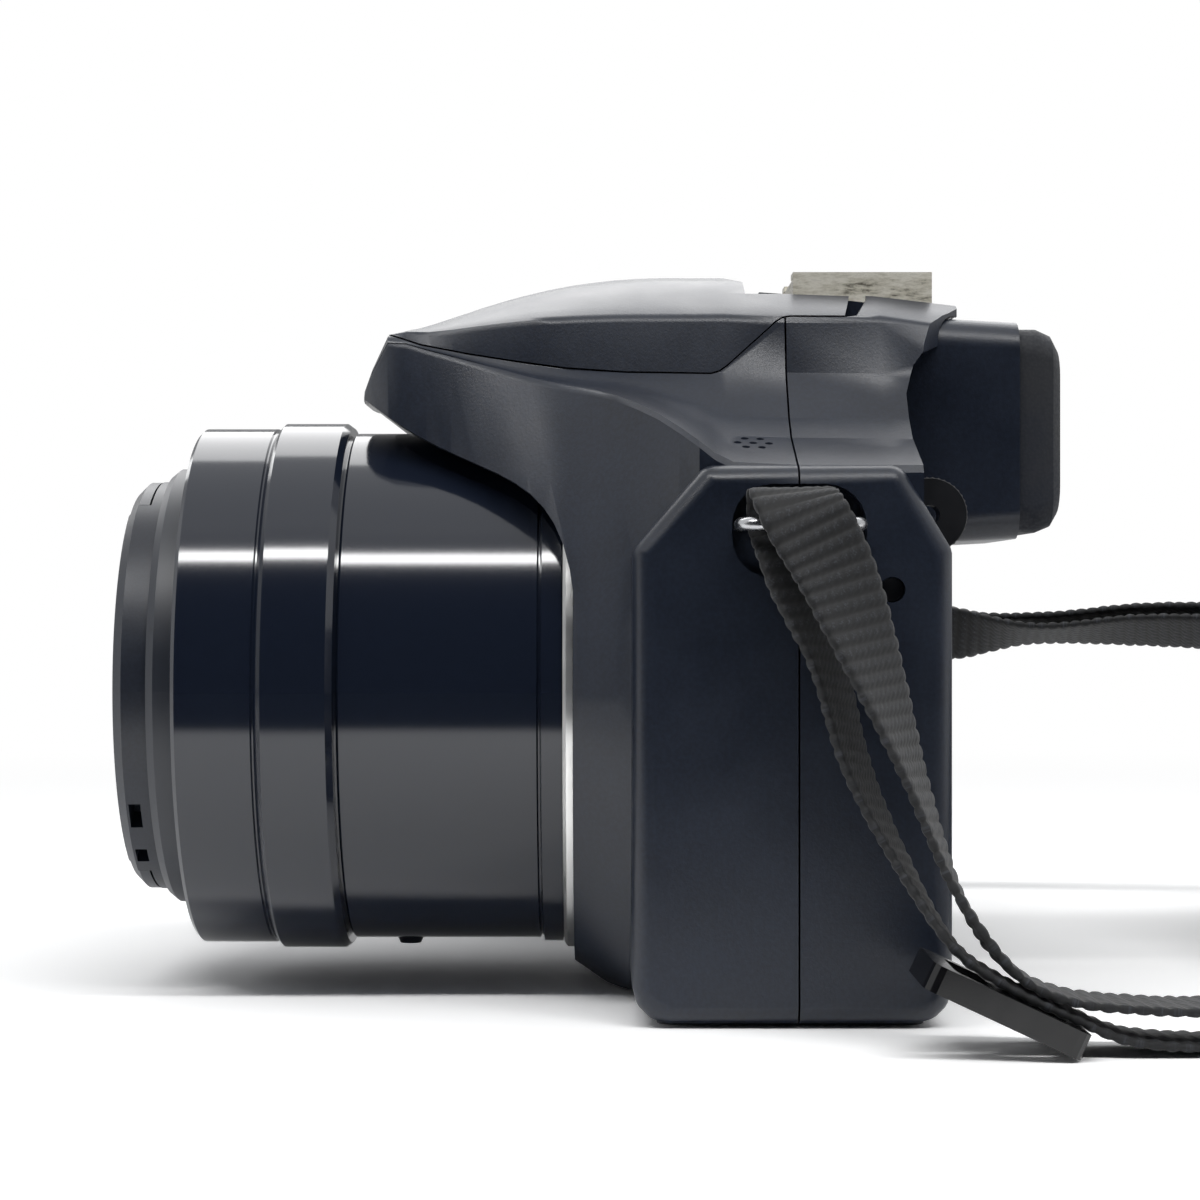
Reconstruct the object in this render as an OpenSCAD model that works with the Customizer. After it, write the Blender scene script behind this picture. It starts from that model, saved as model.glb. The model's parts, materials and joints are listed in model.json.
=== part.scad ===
// Bridge camera with a fixed long-zoom lens, pop-up flash, eye-level finder and neck strap.
// Millimetres. X points to the user's left, Y to the rear and Z up, so the lens looks along -Y.
// The origin is the mouth of the tripod socket, on the base and under the lens axis.

/* [Body] */
// Left face of the body from the lens axis
body_left = 46; // [44:0.5:52]
// Right face of the body from the lens axis
body_right = 84.2; // [82:0.5:92]
// Front face of the body ahead of the socket
body_front = 9.6; // [8:0.2:11]
// Rear face of the body behind the socket
body_rear = 28.2; // [27.4:0.2:32]
// Joint between front and rear covers behind the socket
seam_back = 10; // [9.4:0.2:11]
// Height of the body at its shoulders
shoulder_h = 66.2; // [65.4:0.2:69]
// Height of the chamfer start on the front and rear edges
chamfer_h = 56.2; // [54:0.2:58]
// Wall thickness of the covers
wall = 2; // [1.6:0.1:2.2]
// Edge radius of the left half of the body
edge_r = 2.6; // [2.4:0.1:3.4]
// Clearance between neighbouring covers
seam_gap = 0.12; // [0.08:0.02:0.2]

/* [Hood and flash] */
// Reach of the hood ahead of the socket
hood_reach = 44.1; // [43:0.1:45]
// Rise of the hood top above the fixed barrel
hood_rise = 20.8; // [20.2:0.2:23]
// Drop of the flash hinge pin below the hood top
flash_hinge_drop = 6.7; // [6.6:0.05:6.8]
// Flash hinge pin behind the socket
flash_hinge_back = 18; // [17.6:0.1:18.4]
// Radius of the flash hinge pin
flash_pin_r = 1; // [0.8:0.05:1.05]
// Running clearance of the flash ears on their pin
flash_pin_fit = 0.06; // [0.04:0.01:0.1]
// Half width of the deck between the flash arms
deck_half = 12.2; // [11.8:0.1:12.6]

/* [Lens] */
// Height of the lens axis
axis_h = 39; // [38:0.2:40]
// Radius of the fixed barrel
barrel_r = 33.4; // [33:0.1:33.8]
// Radius of the front barrel ring
ring_r = 34; // [33.6:0.1:34.4]
// Radius of the rear barrel ring
ring_rear_r = 34.7; // [34.4:0.1:35.2]
// Front of the barrel rings ahead of the socket
ring_reach = 65.6; // [64:0.2:67]
// Outer radius of the first zoom barrel
stage_one_r = 31.4; // [31:0.1:31.7]
// Outer radius of the second zoom barrel
stage_two_r = 28.7; // [28.6:0.05:28.9]
// Radius of the filter thread
filter_r = 27.5; // [27:0.1:27.8]
// Depth of the filter thread
filter_depth = 4; // [3:0.2:5]
// Front of the second zoom barrel ahead of the socket
stage_two_reach = 69.5; // [69.2:0.1:70]
// Running clearance between the zoom barrels
zoom_fit = 0.3; // [0.25:0.05:0.4]
// Wall of the first zoom barrel
stage_one_wall = 2; // [1.6:0.1:2.2]
// Radius of the front glass
front_glass_r = 24.5; // [22:0.5:25.4]
// Teeth of the zoom drive ring
drive_teeth = 62; // [62:1:62]
// Teeth of the zoom pinion
pinion_teeth = 8; // [8:1:8]
// Gear module of the zoom drive
drive_module = 1; // [1:0.1:1]

/* [Lens cap] */
// Radius of the lens cap
cap_r = 27; // [26.4:0.1:27.4]
// Thickness of the lens cap
cap_t = 4.3; // [3.8:0.1:5]
// Travel of each pinch tab
tab_travel = 1.6; // [1.2:0.1:1.8]

/* [Grip] */
// Reach of the grip ahead of the socket
grip_reach = 37; // [35:0.5:40]
// Width of the grip
grip_w = 28; // [28:0.5:29]
// Corner radius of the grip
grip_r = 8; // [7:0.5:8.5]
// Thickness of the grip skin
skin_t = 0.9; // [0.7:0.1:1.2]

/* [Finder and monitor] */
// Half width of the finder housing
finder_half = 18; // [17:0.2:18.4]
// Rear of the finder housing behind the socket
finder_back = 40; // [39:0.2:42]
// Depth of the eyecup
eyecup_d = 5.6; // [4.8:0.2:7]
// Lower face of the finder housing
finder_low = 57.4; // [57:0.1:58]
// Upper face of the finder housing
finder_top = 86.6; // [86:0.1:86.8]
// Radius of the eyepiece glass
eyepiece_r = 9; // [8:0.2:9.6]
// Width of the monitor window
monitor_w = 70; // [66:0.5:71]
// Height of the monitor window
monitor_h = 49; // [46:0.5:50]
// Radius of the dioptre wheel
dioptre_r = 4.9; // [4.8:0.1:5.5]

/* [Controls] */
// Radius of the mode dial
mode_r = 10; // [9:0.2:10.6]
// Height of the mode dial
mode_h = 6.6; // [5:0.2:8]
// Radius of the shutter button
shutter_r = 5.2; // [4.8:0.1:5.4]
// Outer radius of the zoom lever
lever_r = 9; // [8.6:0.1:9.2]
// Radius of the round keys on the rear
key_r = 2.9; // [2.6:0.1:3.2]
// Outer radius of the cursor ring
cursor_r = 9.2; // [8.6:0.1:9.6]
// Radius of the set key inside the cursor ring
set_r = 3.7; // [3.3:0.1:4]
// Radius of the rear thumb wheel
wheel_r = 8; // [7.6:0.1:8.2]
// Clearance of keys and wheels in their openings
key_fit = 0.3; // [0.25:0.05:0.35]

/* [Mounts and base] */
// Radius of the tripod thread
tripod_r = 3.175; // [3.1:0.025:3.3]
// Depth of the tripod thread
tripod_depth = 5.2; // [5:0.1:5.3]
// Outer radius of the tripod bush
tripod_bush_r = 4.6; // [4.4:0.1:5]
// Thickness of the base plate
base_t = 1.8; // [1.6:0.1:1.9]
// Width between the hot shoe rails
shoe_w = 18.7; // [18.5:0.05:18.8]
// Length of the hot shoe
shoe_l = 18; // [17:0.2:18.4]
// Height of the slot under the hot shoe lips
shoe_slot = 2; // [1.95:0.05:2.1]

/* [Strap] */
// Width of the strap webbing
web_w = 10; // [9:0.2:10.4]
// Thickness of the strap webbing
web_t = 1.3; // [1:0.1:1.4]
// Width of the neck band
band_w = 40; // [38:0.5:40]
// Thickness of the neck band
band_t = 2; // [1.6:0.1:2.4]
// Radius of the lug wire
lug_r = 0.8; // [0.7:0.05:0.9]

/* [Hidden] */
$fn = 96;

front_y = -body_front;
nose_y = -hood_reach;
hood_h = axis_h + barrel_r + hood_rise;
flash_hinge_h = hood_h - flash_hinge_drop;
collar_y = -16.6;
base_gap = 0.4;
foot_rise = 4.3;
grip_right = body_right - skin_t;
grip_left = grip_right - grip_w;
collar_r = barrel_r + 3;
collar_flare = 4.8;
hole_r = barrel_r + 1.4;
top_x = -33.5;
soft_fn = 24;

// Inward offset of a closed outline listed anticlockwise
function unit(v) = v / norm(v);
function left_of(a, b) = [-unit(b - a)[1], unit(b - a)[0]];
function inset(p, d) = [for (i = [0 : len(p) - 1])
    let (a = p[(i + len(p) - 1) % len(p)], b = p[i], c = p[(i + 1) % len(p)],
         m = left_of(a, b), n = left_of(b, c))
    b + (m + n) * d / (1 + m * n)];

function bezier2(a, b, c, t) = a * (1 - t) * (1 - t) + b * 2 * t * (1 - t) + c * t * t;
function bezier3(a, b, c, d, t) = a * pow(1 - t, 3) + b * 3 * t * pow(1 - t, 2)
    + c * 3 * t * t * (1 - t) + d * pow(t, 3);

// Smooth curve through the rows of a list, at t rows from its start
function row(k, i) = k[max(0, min(len(k) - 1, i))];
function spline(k, t) = let (i = min(floor(t), len(k) - 2), u = t - i,
    a = row(k, i - 1), b = row(k, i), c = row(k, i + 1), d = row(k, i + 2))
    b + (c - a) * u / 2 + (a * 2 - b * 5 + c * 4 - d) * u * u / 2
    + (b * 3 - a - c * 3 + d) * u * u * u / 2;

function round_rect(w, h, r, n = 6) = [for (q = [0 : 3], s = [0 : n])
    let (a = 90 * q + 90 * s / n)
    [(q == 0 || q == 3 ? 1 : -1) * (w / 2 - r) + r * cos(a),
     (q < 2 ? 1 : -1) * (h / 2 - r) + r * sin(a)]];

module turned(profile) translate([0, 0, axis_h]) rotate([-90, 0, 0]) rotate_extrude()
    polygon(profile);
module rod_y(r, y0, y1) translate([0, y0, 0]) rotate([-90, 0, 0]) cylinder(r = r, h = y1 - y0);
module rod_x(r, x0, x1) translate([x0, 0, 0]) rotate([0, 90, 0]) cylinder(r = r, h = x1 - x0);
module box(a, b) translate(a) cube(b - a);
// Outline given as [y, z], drawn out along X
module along_x(x0, x1) translate([x0, 0, 0]) rotate([90, 0, 90]) linear_extrude(x1 - x0) children();
// Outline given as [x, z], drawn out along Y
module along_y(y0, y1) translate([0, y1, 0]) rotate([90, 0, 0]) linear_extrude(y1 - y0) children();

// Body forms, from which every cover is cut
function foot_corner(y, s, a) = [y + s * foot_rise * (1 - cos(a)), base_gap + foot_rise * (1 - sin(a))];
slab_outline = concat([for (a = [0 : 30 : 90]) foot_corner(front_y, 1, a)],
    [for (a = [90 : -30 : 0]) foot_corner(body_rear, -1, a)],
    [[body_rear, chamfer_h], [body_rear - 6, shoulder_h], [front_y + 8.6, shoulder_h],
        [front_y, chamfer_h]]);
grip_outline = [[-grip_reach, base_gap], [body_rear, base_gap], [body_rear, chamfer_h],
    [body_rear - 6, shoulder_h], [-2, shoulder_h], [7 - grip_reach, shoulder_h - 6.4],
    [-grip_reach, shoulder_h - 12]];

module slab_form(cut) hull() for (p = inset(slab_outline, edge_r), x = [body_left - edge_r, -62])
    translate([x, p[0], p[1]]) sphere(edge_r - cut, $fn = cut > 0 ? 8 : soft_fn);
module grip_form(grow) hull() for (p = inset(grip_outline, grip_r),
        x = [grip_r - grip_right, -grip_left - grip_r])
    if (p[1] > axis_h / 2) translate([x, p[0], p[1]]) sphere(grip_r + grow, $fn = soft_fn);
    else translate([x, p[0], base_gap + max(0, -grow)])
        cylinder(r1 = grip_r + grow - 0.9, r2 = grip_r + grow, h = 1.2, $fn = 32);

// Hood stations: y, top z, then x and z of lid crease, lid seam and ridge, then foot x
hood_keys = [
    [nose_y, hood_h - 16.4, 4, hood_h - 16.6, 5, hood_h - 16.8, 7, hood_h - 17.2, 8],
    [nose_y + 0.35, hood_h - 15, 9, hood_h - 15.3, 10, hood_h - 15.6, 12, hood_h - 16.1, 13.5],
    [nose_y + 1.5, hood_h - 12.7, 12.4, hood_h - 13.1, 13.4, hood_h - 13.4, 15, hood_h - 14, 17],
    [nose_y + 3.7, hood_h - 8.4, 14.6, hood_h - 8.9, 15.5, hood_h - 9.4, 16.8, hood_h - 10.2, 19.4],
    [nose_y + 9, hood_h - 6.2, 16.5, hood_h - 8.6, 17.2, hood_h - 10.5, 18.4, hood_h - 11.3, 23],
    [nose_y + 15.4, hood_h - 3.9, 17.8, hood_h - 7.9, 18.6, hood_h - 12, 20.2, hood_h - 13.2, 29],
    [nose_y + 21.8, hood_h - 2.1, 18.9, hood_h - 7.3, 20, hood_h - 13.2, 22.8, hood_h - 15.2, 35.4],
    [collar_y - 0.35, hood_h - 1, 19.8, hood_h - 7.1, 21.2, hood_h - 14, 26.6, hood_h - 16.6, collar_r],
    [front_y - 1.8, hood_h - 0.3, 20.4, hood_h - 7, 22, hood_h - 14.3, 31, hood_h - 18,
        collar_r + 2.6],
    [front_y + 3.4, hood_h, 20.7, hood_h - 7, 22.4, hood_h - 14.4, 36.6, hood_h - 20.6,
        body_left - 3],
    [front_y + 8, hood_h, 20.8, hood_h - 7, 22.5, hood_h - 14.4, body_left - 3, hood_h - 24.2,
        body_left - 2],
    [front_y + 12, hood_h, 20.8, hood_h - 7, 22.5, hood_h - 14.4, body_left - 2.2,
        shoulder_h + 0.2, body_left - 1.8],
    [seam_back, hood_h - 0.1, 20.8, hood_h - 7, 22.5, hood_h - 14.4, body_left - 2,
        shoulder_h - 0.2, body_left - 1.8],
    [seam_back + 12, hood_h - 0.7, 20.5, hood_h - 7.1, 22.5, hood_h - 14.5, body_left - 2,
        shoulder_h - 0.2, body_left - 1.8],
    [seam_back + 26, hood_h - 1.9, 19.6, hood_h - 8.8, 22.4, hood_h - 14.6, body_left - 2,
        shoulder_h - 0.2, body_left - 1.8]];
hood_steps = [0, 1, 2, 3, 3.5, 4, 4.5, 5, 5.5, 6, 6.5, 7, 7.5, 8, 8.5, 9, 9.5, 10, 10.5, 11, 12,
    13, 14];

// The crown falls in a nearly flat facet to the crease
crown_power = 1.45;
// One side of a hood section: crown, rounded crease, seam, elbow, ledge to the ridge, bulge, foot
function toward(a, b, d) = a + unit(b - a) * d;
function hood_side(k, d, limit) =
    let (crown = [0, k[1] - d], crease = [k[2] - d, k[3] - d], seam = [k[4] - d, k[5] - d],
         ridge = [min(k[6], limit) - d, k[7] - d * 0.7],
         foot_x = k[0] < collar_y ? k[8] : max(k[8], cone_r(k[0]) + 0.15),
         foot = [min(foot_x, limit + 8.4) - d, axis_h],
         elbow = [seam[0] + 0.34 * (ridge[0] - seam[0]), ridge[1] + 0.38 * (seam[1] - ridge[1])],
         bulge = [foot[0], foot[1] + 0.35 * (ridge[1] - foot[1])],
         f = min(1, 0.35 * norm(seam - crease)),
         above = toward(crease, crown, f), below = toward(crease, seam, f))
    concat([for (t = [0.3, 0.6, 0.85]) [crease[0] * t,
                crown[1] - (crown[1] - crease[1]) * pow(t, crown_power)]],
        [above, bezier2(above, crease, below, 0.5), below, seam],
        [for (t = [0.5, 0.76]) seam + (elbow - seam) * t],
        [for (t = [0.16, 0.5]) elbow + (ridge - elbow) * t],
        [toward(ridge, elbow, 0.7), toward(ridge, bulge, 0.7)],
        [for (t = [0.25 : 0.25 : 0.75]) bezier2(ridge, bulge, foot, t)], [foot, foot - [1, 6]]);
function cone_r(y) = collar_r + collar_flare * max(0, min(1, (y - collar_y) / (front_y - collar_y)));
function hood_loop(k, d) =
    let (a = hood_side(k, d, body_left), b = hood_side(k, d, 32), n = len(a))
    concat([[0, k[1] - d]], a, [for (i = [n - 1 : -1 : 0]) [-b[i][0], b[i][1]]]);
module hood_loft(d) {
    rings = [for (t = hood_steps) let (k = spline(hood_keys, t))
        [for (p = hood_loop(k, d)) [p[0], k[0] + (t == 0 ? d : 0), p[1]]]];
    n = len(rings[0]);
    last = (len(rings) - 1) * n;
    polyhedron(points = [for (r = rings, p = r) p],
        faces = concat([[for (i = [0 : n - 1]) i]], [[for (i = [n - 1 : -1 : 0]) last + i]],
            [for (s = [0 : len(rings) - 2], i = [0 : n - 1]) let (j = (i + 1) % n)
                [s * n + i, s * n + n + i, s * n + n + j]],
            [for (s = [0 : len(rings) - 2], i = [0 : n - 1]) let (j = (i + 1) % n)
                [s * n + i, s * n + n + j, s * n + j]]));
}

// Side outline of the hood: the arch over the barrel, the rear wall and the rear overhang
chin_z = axis_h + 37;
function arch(d) = [for (t = [0 : 1 / 14 : 1]) bezier3([nose_y + 0.6 + d, chin_z + d],
    [nose_y + 17, axis_h + 23.5 + d], [collar_y - 0.2 + d, axis_h + 31 + d],
    [collar_y + 0.5 + d, axis_h + 6], t)];
hump_back = body_rear - 3.4;
module side_outline(d) polygon(concat(arch(d), [[collar_y + 0.5 + d, base_gap + d],
    [hump_back - d, base_gap + d], [hump_back - d, hood_h - 17.2], [hump_back + 1.2 - d, hood_h - 13.4],
    [hump_back + 2.4 - d, hood_h - 11.8], [hump_back + 7.8 - d, hood_h - 9.2],
    [hump_back + 7.6 - d, hood_h + 10], [nose_y - 20, hood_h + 10], [nose_y - 20, chin_z + d]]));
// Plan of the hood: its rear corners are cut off on a slant beside the finder
module plan_outline(d) polygon([[-60, nose_y - 20], [60, nose_y - 20], [60, hump_back + 1 - d],
    [24 - d, hump_back + 1 - d], [11 - d, hump_back + 9.2 - d], [d - 11, hump_back + 9.2 - d],
    [d - 24, hump_back + 1 - d], [-60, hump_back + 1 - d]]);
module hood_form(d) intersection() {
    hood_loft(d);
    along_x(-60, 60) side_outline(d);
    linear_extrude(2 * hood_h) plan_outline(d);
}
module collar_form(d) intersection() {
    r = collar_r - 0.4 * d;
    turned([[0, collar_y + d], [r, collar_y + d], [r + collar_flare, front_y],
        [r + collar_flare, front_y + 3], [0, front_y + 3]]);
    box([-60, -60, base_gap + d], [60, 60, 90]);
}
module barrel_space(r, y1) turned([[0, nose_y - 12], [r, nose_y - 12], [r, y1], [0, y1]]);

// Flat deck that carries the hot shoe between the flash arms
deck_z = hood_h - 3.2;
deck_fall = 2.3;
deck_y = 5.8;
module deck_form() difference() {
    along_x(-deck_half, deck_half) polygon([[deck_y, deck_z - 9], [deck_y, deck_z - 2.2],
        [deck_y + 1.4, deck_z], [shoe_y, deck_z - 0.3], [hump_back + 5, deck_z - deck_fall],
        [hump_back + 7.6, deck_z - deck_fall - 1.2],
        [hump_back + 7.5, hood_h - 6.2], [hump_back + 3, hood_h - 10.8], [hump_back - 0.5, hood_h - 13]]);
    shoe_seat();
    along_x(wall - deck_half, deck_half - wall) polygon([[deck_y + wall, deck_z - 12],
        [deck_y + wall, deck_z - wall - deck_fall], [hump_back - wall, deck_z - wall - deck_fall],
        [hump_back - wall, deck_z - 12]]);
}
// Shallow seat that the shoe's plate is let into, open to the rear
shoe_y = 11.7;
shoe_plate = deck_fall + 0.3;
shoe_lip = 0.7;
shoe_rail = 1.2;
module shoe_seat() box([-shoe_w / 2 - shoe_rail - 0.1, shoe_y - 0.1, deck_z - shoe_plate + 0.05],
    [shoe_w / 2 + shoe_rail + 0.1, hump_back + 12, deck_z + 9]);
module deck_space(g) box([-deck_half - g, deck_y - g, deck_z - 9], [deck_half + g, 60, hood_h + 9]);

// Region of the flash lid, cut along its seam
lid_seam = [[nose_y + 4, hood_h - 9], [nose_y + 7.9, hood_h - 10.4], [nose_y + 14.1, hood_h - 11.7],
    [nose_y + 20.5, hood_h - 12.8], [nose_y + 26.4, hood_h - 13.7], [front_y - 0.6, hood_h - 14.3],
    [0.6, hood_h - 14.5], [1.6, hood_h - 14.2], [2.6, hood_h - 13.5], [8, hood_h - 8.6],
    [8.7, hood_h - 7.9], [9.6, hood_h - 7.3], [10.6, hood_h - 7.1]];
lid_level = hood_h - 7.1;
module lid_outline(g) polygon(concat([for (p = lid_seam) p + [0, g]],
    [[flash_hinge_back - 0.3 - g, lid_level + g], [flash_hinge_back + 0.9 - g, lid_level + 3.4],
        [flash_hinge_back + 1.4 - g, hood_h + 8], [nose_y - 5, hood_h + 8], [nose_y - 5, hood_h - 9]]));
module lid_region(g) along_x(-40, 40) lid_outline(g);
// Round ears that hold the lid on its pin, and the room in which they and the lid's rear edge swing
ear_r = flash_pin_r + 0.75;
ear_x = [deck_half + 0.5, deck_half + 3];
module flash_ears(r, g) translate([0, flash_hinge_back, flash_hinge_h]) for (s = [-1, 1])
    rod_x(r, (s > 0 ? ear_x[0] : -ear_x[1]) - g, (s > 0 ? ear_x[1] : -ear_x[0]) + g);
module swing_space() {
    flash_ears(ear_r + 0.25, 0.3);
    along_x(-24, 24) polygon([[flash_hinge_back - 0.5, lid_level - seam_gap],
        [flash_hinge_back + 1.1, lid_level + 0.1], [flash_hinge_back + 2.9, lid_level + 2.8],
        [flash_hinge_back + 3.2, hood_h + 8], [flash_hinge_back - 0.5, hood_h + 8]]);
}

// Floor of the well under the flash lid
well_z = hood_h - 17;
module flash_well(y0, y1) intersection() {
    hood_form(wall / 2);
    box([-60, y0, well_z], [60, y1, well_z + 1.4]);
}

// Closed hollow case before it is split into covers
module case_solid() {
    slab_form(0);
    grip_form(0);
    hood_form(0);
    collar_form(0);
}
module case_space() difference() {
    union() {
        slab_form(wall);
        grip_form(-wall);
        collar_form(wall);
        difference() {
            hood_form(wall);
            barrel_space(hole_r + wall, collar_y + wall);
        }
    }
    lug_blocks();
}
module case_shell() difference() {
    case_solid();
    case_space();
    barrel_space(hole_r, collar_y + wall + 1);
}

// Strap lugs: a wire loop on each side, the left one over a recess
lug_y = 10;
lug_z = shoulder_h - 7.1;
lug_half = 6.9;
far_lug_z = 52;
module lug_blocks() {
    round_block([body_left - 7, lug_y - 10, 51], [body_left + 3, lug_y + 12.4, 66.4], 1);
    round_block([-body_right - 3, lug_y - 9, far_lug_z - 3], [7 - body_right, lug_y + 9, far_lug_z + 3], 1);
}
module lug_recess() {
    along_x(body_left - 3.4, body_left + 4) translate([lug_y, lug_z - 0.7])
        polygon(round_rect(2 * lug_half + 2, 11, 4.8));
}
module lug(reach) {
    for (s = [-1, 1]) {
        translate([0, s * lug_half, 0]) rod_x(lug_r, -5, reach - 2);
        translate([reach - 2, s * (lug_half - 2), 0]) rotate([0, 0, s > 0 ? 0 : -90])
            rotate_extrude(angle = 90) translate([2, 0]) circle(lug_r, $fn = 32);
    }
    translate([reach, 0, 0]) rod_y(lug_r, 2 - lug_half, lug_half - 2);
}

// Openings in the base for the base plate and the battery door
base_x = [-50, body_left - 4];
base_y = [front_y + 3, body_rear - 3];
door_x = [-80, -56];
door_y = [-28, 14];
door_hinge_y = door_y[1] - 1;
door_hinge_z = 1;
module round_block(a, b, r) hull() for (x = [a[0] + r, b[0] - r], y = [a[1] + r, b[1] - r])
    translate([x, y, a[2]]) cylinder(r = r, h = b[2] - a[2], $fn = 24);
module base_openings(g) {
    round_block([base_x[0] - g, base_y[0] - g, -5], [base_x[1] + g, base_y[1] + g, wall + 1], 2 + g);
    round_block([door_x[0] - g, door_y[0] - g, -5], [door_x[1] + g, door_y[1] + g, wall + 1], 0.4);
    for (x = [door_x[0] - 1.2, door_x[1] - 0.2])
        translate([0, door_hinge_y, door_hinge_z]) rod_x(0.8, x, x + 1.4);
}

// Openings on the right side for the port cover
port_y = [13, 21];
port_z = [12, 40];
port_hinge_x = 0.9 - grip_right;
port_hinge_y = port_y[0] + 1;
module port_space(g) {
    box([-body_right - 3, port_y[0] - g, port_z[0] - g], [0.4 + wall - grip_right, port_y[1] + g,
        port_z[1] + g]);
    translate([port_hinge_x, port_hinge_y, port_z[0] - 1.4]) cylinder(r = 0.8, h = 32);
}

module top_space(g) box([-95, -60, shoulder_h - 8.2 - g], [top_x + g, 60, 110]);
module left_screw_hole(r) translate([0, 20.9, 51.5]) rod_x(r, body_left - 2.2, body_left + 3);
module speaker_holes() for (i = [-1 : 1], j = [0 : (i == 0 ? 2 : 1)])
    translate([body_left - 11.2 + i * 1.8, 5.2 + (j - (i == 0 ? 1 : 0.5)) * 1.9, 60])
        cylinder(r = 0.5, h = 18, $fn = 16);

module front_cover() color("#2b2d31") difference() {
    $fn = 64;
    union() {
        intersection() {
            case_shell();
            box([-100, -70, -5], [100, seam_back - seam_gap, 120]);
        }
        flash_well(collar_y + 1, seam_back - seam_gap);
    }
    lid_region(-seam_gap);
    deck_space(seam_gap);
    top_space(seam_gap);
    base_openings(seam_gap);
    lug_recess();
    speaker_holes();
    port_space(seam_gap);
}

module rear_cover() color("#2a2c30") difference() {
    $fn = 48;
    union() {
        difference() {
            intersection() {
                case_shell();
                box([-100, seam_back + seam_gap, -5], [100, 70, 120]);
            }
            lid_region(-seam_gap);
            swing_space();
            deck_space(0);
        }
        deck_form();
        flash_well(seam_back + seam_gap, hump_back - 5.2);
    }
    translate([0, flash_hinge_back, flash_hinge_h])
        rod_x(flash_pin_r + 0.12, -deck_half - 1, deck_half + 1);
    release_space();
    top_space(seam_gap);
    base_openings(seam_gap);
    lug_recess();
    left_screw_hole(1.5);
    finder_form(seam_gap, hump_back - 3.4, finder_back + 9);
    monitor_space(seam_gap);
    rear_keys_space();
    dioptre_space();
    port_space(seam_gap);
}

// Right hand controls on the top cover
dial_at = [-47, 11];
shutter_at = [-68.6, -19];
turret_z = shoulder_h - 2;
power_at = [-68, 14];
movie_at = [-72, 2];
module top_cover() color("#2b2d31") difference() {
    $fn = 48;
    union() {
        intersection() {
            case_shell();
            box([-95, -60, shoulder_h - 8.2], [top_x, 60, 110]);
        }
        translate([shutter_at[0], shutter_at[1], shoulder_h - 8])
            cylinder(r = lever_r + 0.3, h = turret_z - shoulder_h + 8);
        translate([shutter_at[0], shutter_at[1], turret_z]) cylinder(r = shutter_r + 0.75, h = 3);
    }
    translate([shutter_at[0], shutter_at[1], turret_z - 3]) cylinder(r = shutter_r + key_fit, h = 9);
    translate([shutter_at[0], shutter_at[1], 40]) cylinder(r = 2, h = 30);
    translate([dial_at[0], dial_at[1], 40]) cylinder(r = 3, h = 40);
    translate([power_at[0], power_at[1], 40]) cylinder(r = 2.1, h = 40);
    translate([movie_at[0], movie_at[1], 40]) cylinder(r = 3.2 + key_fit, h = 40);
}

module base_plate() color("#26282b") difference() {
    translate([(base_x[0] + base_x[1]) / 2, (base_y[0] + base_y[1]) / 2, 0]) linear_extrude(base_t)
        polygon(round_rect(base_x[1] - base_x[0], base_y[1] - base_y[0], 2));
    translate([0, 0, -1]) cylinder(r = tripod_bush_r + 0.1, h = 9);
    for (x = base_screws) {
        translate([x, plate_y + 1, -1]) cylinder(r = 0.9, h = 9, $fn = 32);
        translate([x, plate_y + 1, -1]) cylinder(r = 1.6, h = 1.9, $fn = 32);
    }
}

module grip_skin() color("#1d1e20") intersection() {
    difference() {
        grip_form(skin_t);
        grip_form(0.04);
        box([-grip_left - 2, front_y - 0.3, 0], [0, 60, 100]);
    }
    hull() {
        box([-95, -45, 6], [2 - grip_left, 4, 7]);
        box([-95, -45, 44], [2 - grip_left, -2, 45]);
        box([-95, -45, 47], [2 - grip_left, -12, shoulder_h - 15]);
    }
}

// Inner frame: lens tube, plate behind the lens, battery case and tripod boss
plate_y = 6;
base_screws = [-40, 36];
tube_r = hole_r + 0.9;
battery_a = [-79.7, -21, 4];
battery_b = [-61.7, 12, 45];
module chassis() color("#55585c") difference() {
    union() {
        turned([[tube_r - 1.8, collar_y + wall + 2.2], [tube_r, collar_y + wall + 2.2],
            [tube_r, plate_y + 1], [tube_r - 1.8, plate_y + 1]]);
        box([-60, plate_y, 7], [body_left - 7.4, plate_y + 2, 60]);
        turned([[0, -3], [14, -3], [14, plate_y + 1], [0, plate_y + 1]]);
        box([-9, base_y[0] + 0.4, 2], [9, plate_y + 2, 6.2]);
        for (x = base_screws) translate([x, plate_y + 1, 2]) cylinder(r = 2.4, h = 8, $fn = 48);
        box(battery_a - [1.3, 1.3, 0], battery_b + [1.3, 1.3, 1.3]);
        for (x = [-42, 34], z = [14, 54]) translate([x, 0, z]) rod_y(2, plate_y + 1, plate_y + 7);
    }
    turned([[0, -4], [12, -4], [12, plate_y - 1], [8, plate_y - 1], [8, plate_y + 3], [0, plate_y + 3]]);
    translate([0, 0, -1]) cylinder(r = tripod_bush_r + 0.05, h = tripod_depth + 1.1);
    for (x = base_screws) translate([x, plate_y + 1, -1]) cylinder(r = 0.8, h = 8, $fn = 32);
    box(battery_a - [0.2, 0.2, 9], battery_b + [0.2, 0.2, 0.2]);
    translate([pinion_at[0], 0, pinion_at[1]]) rod_y(pinion_outer + 0.6, -8, 0.2);
    translate([pinion_at[0], 0, pinion_at[1]]) rod_y(6.2, 0, plate_y + 4);
}

module tripod_socket() color("#b9bbbd") difference() {
    cylinder(r = tripod_bush_r, h = tripod_depth);
    translate([0, 0, -1]) cylinder(r = tripod_r, h = tripod_depth + 2);
}

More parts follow.
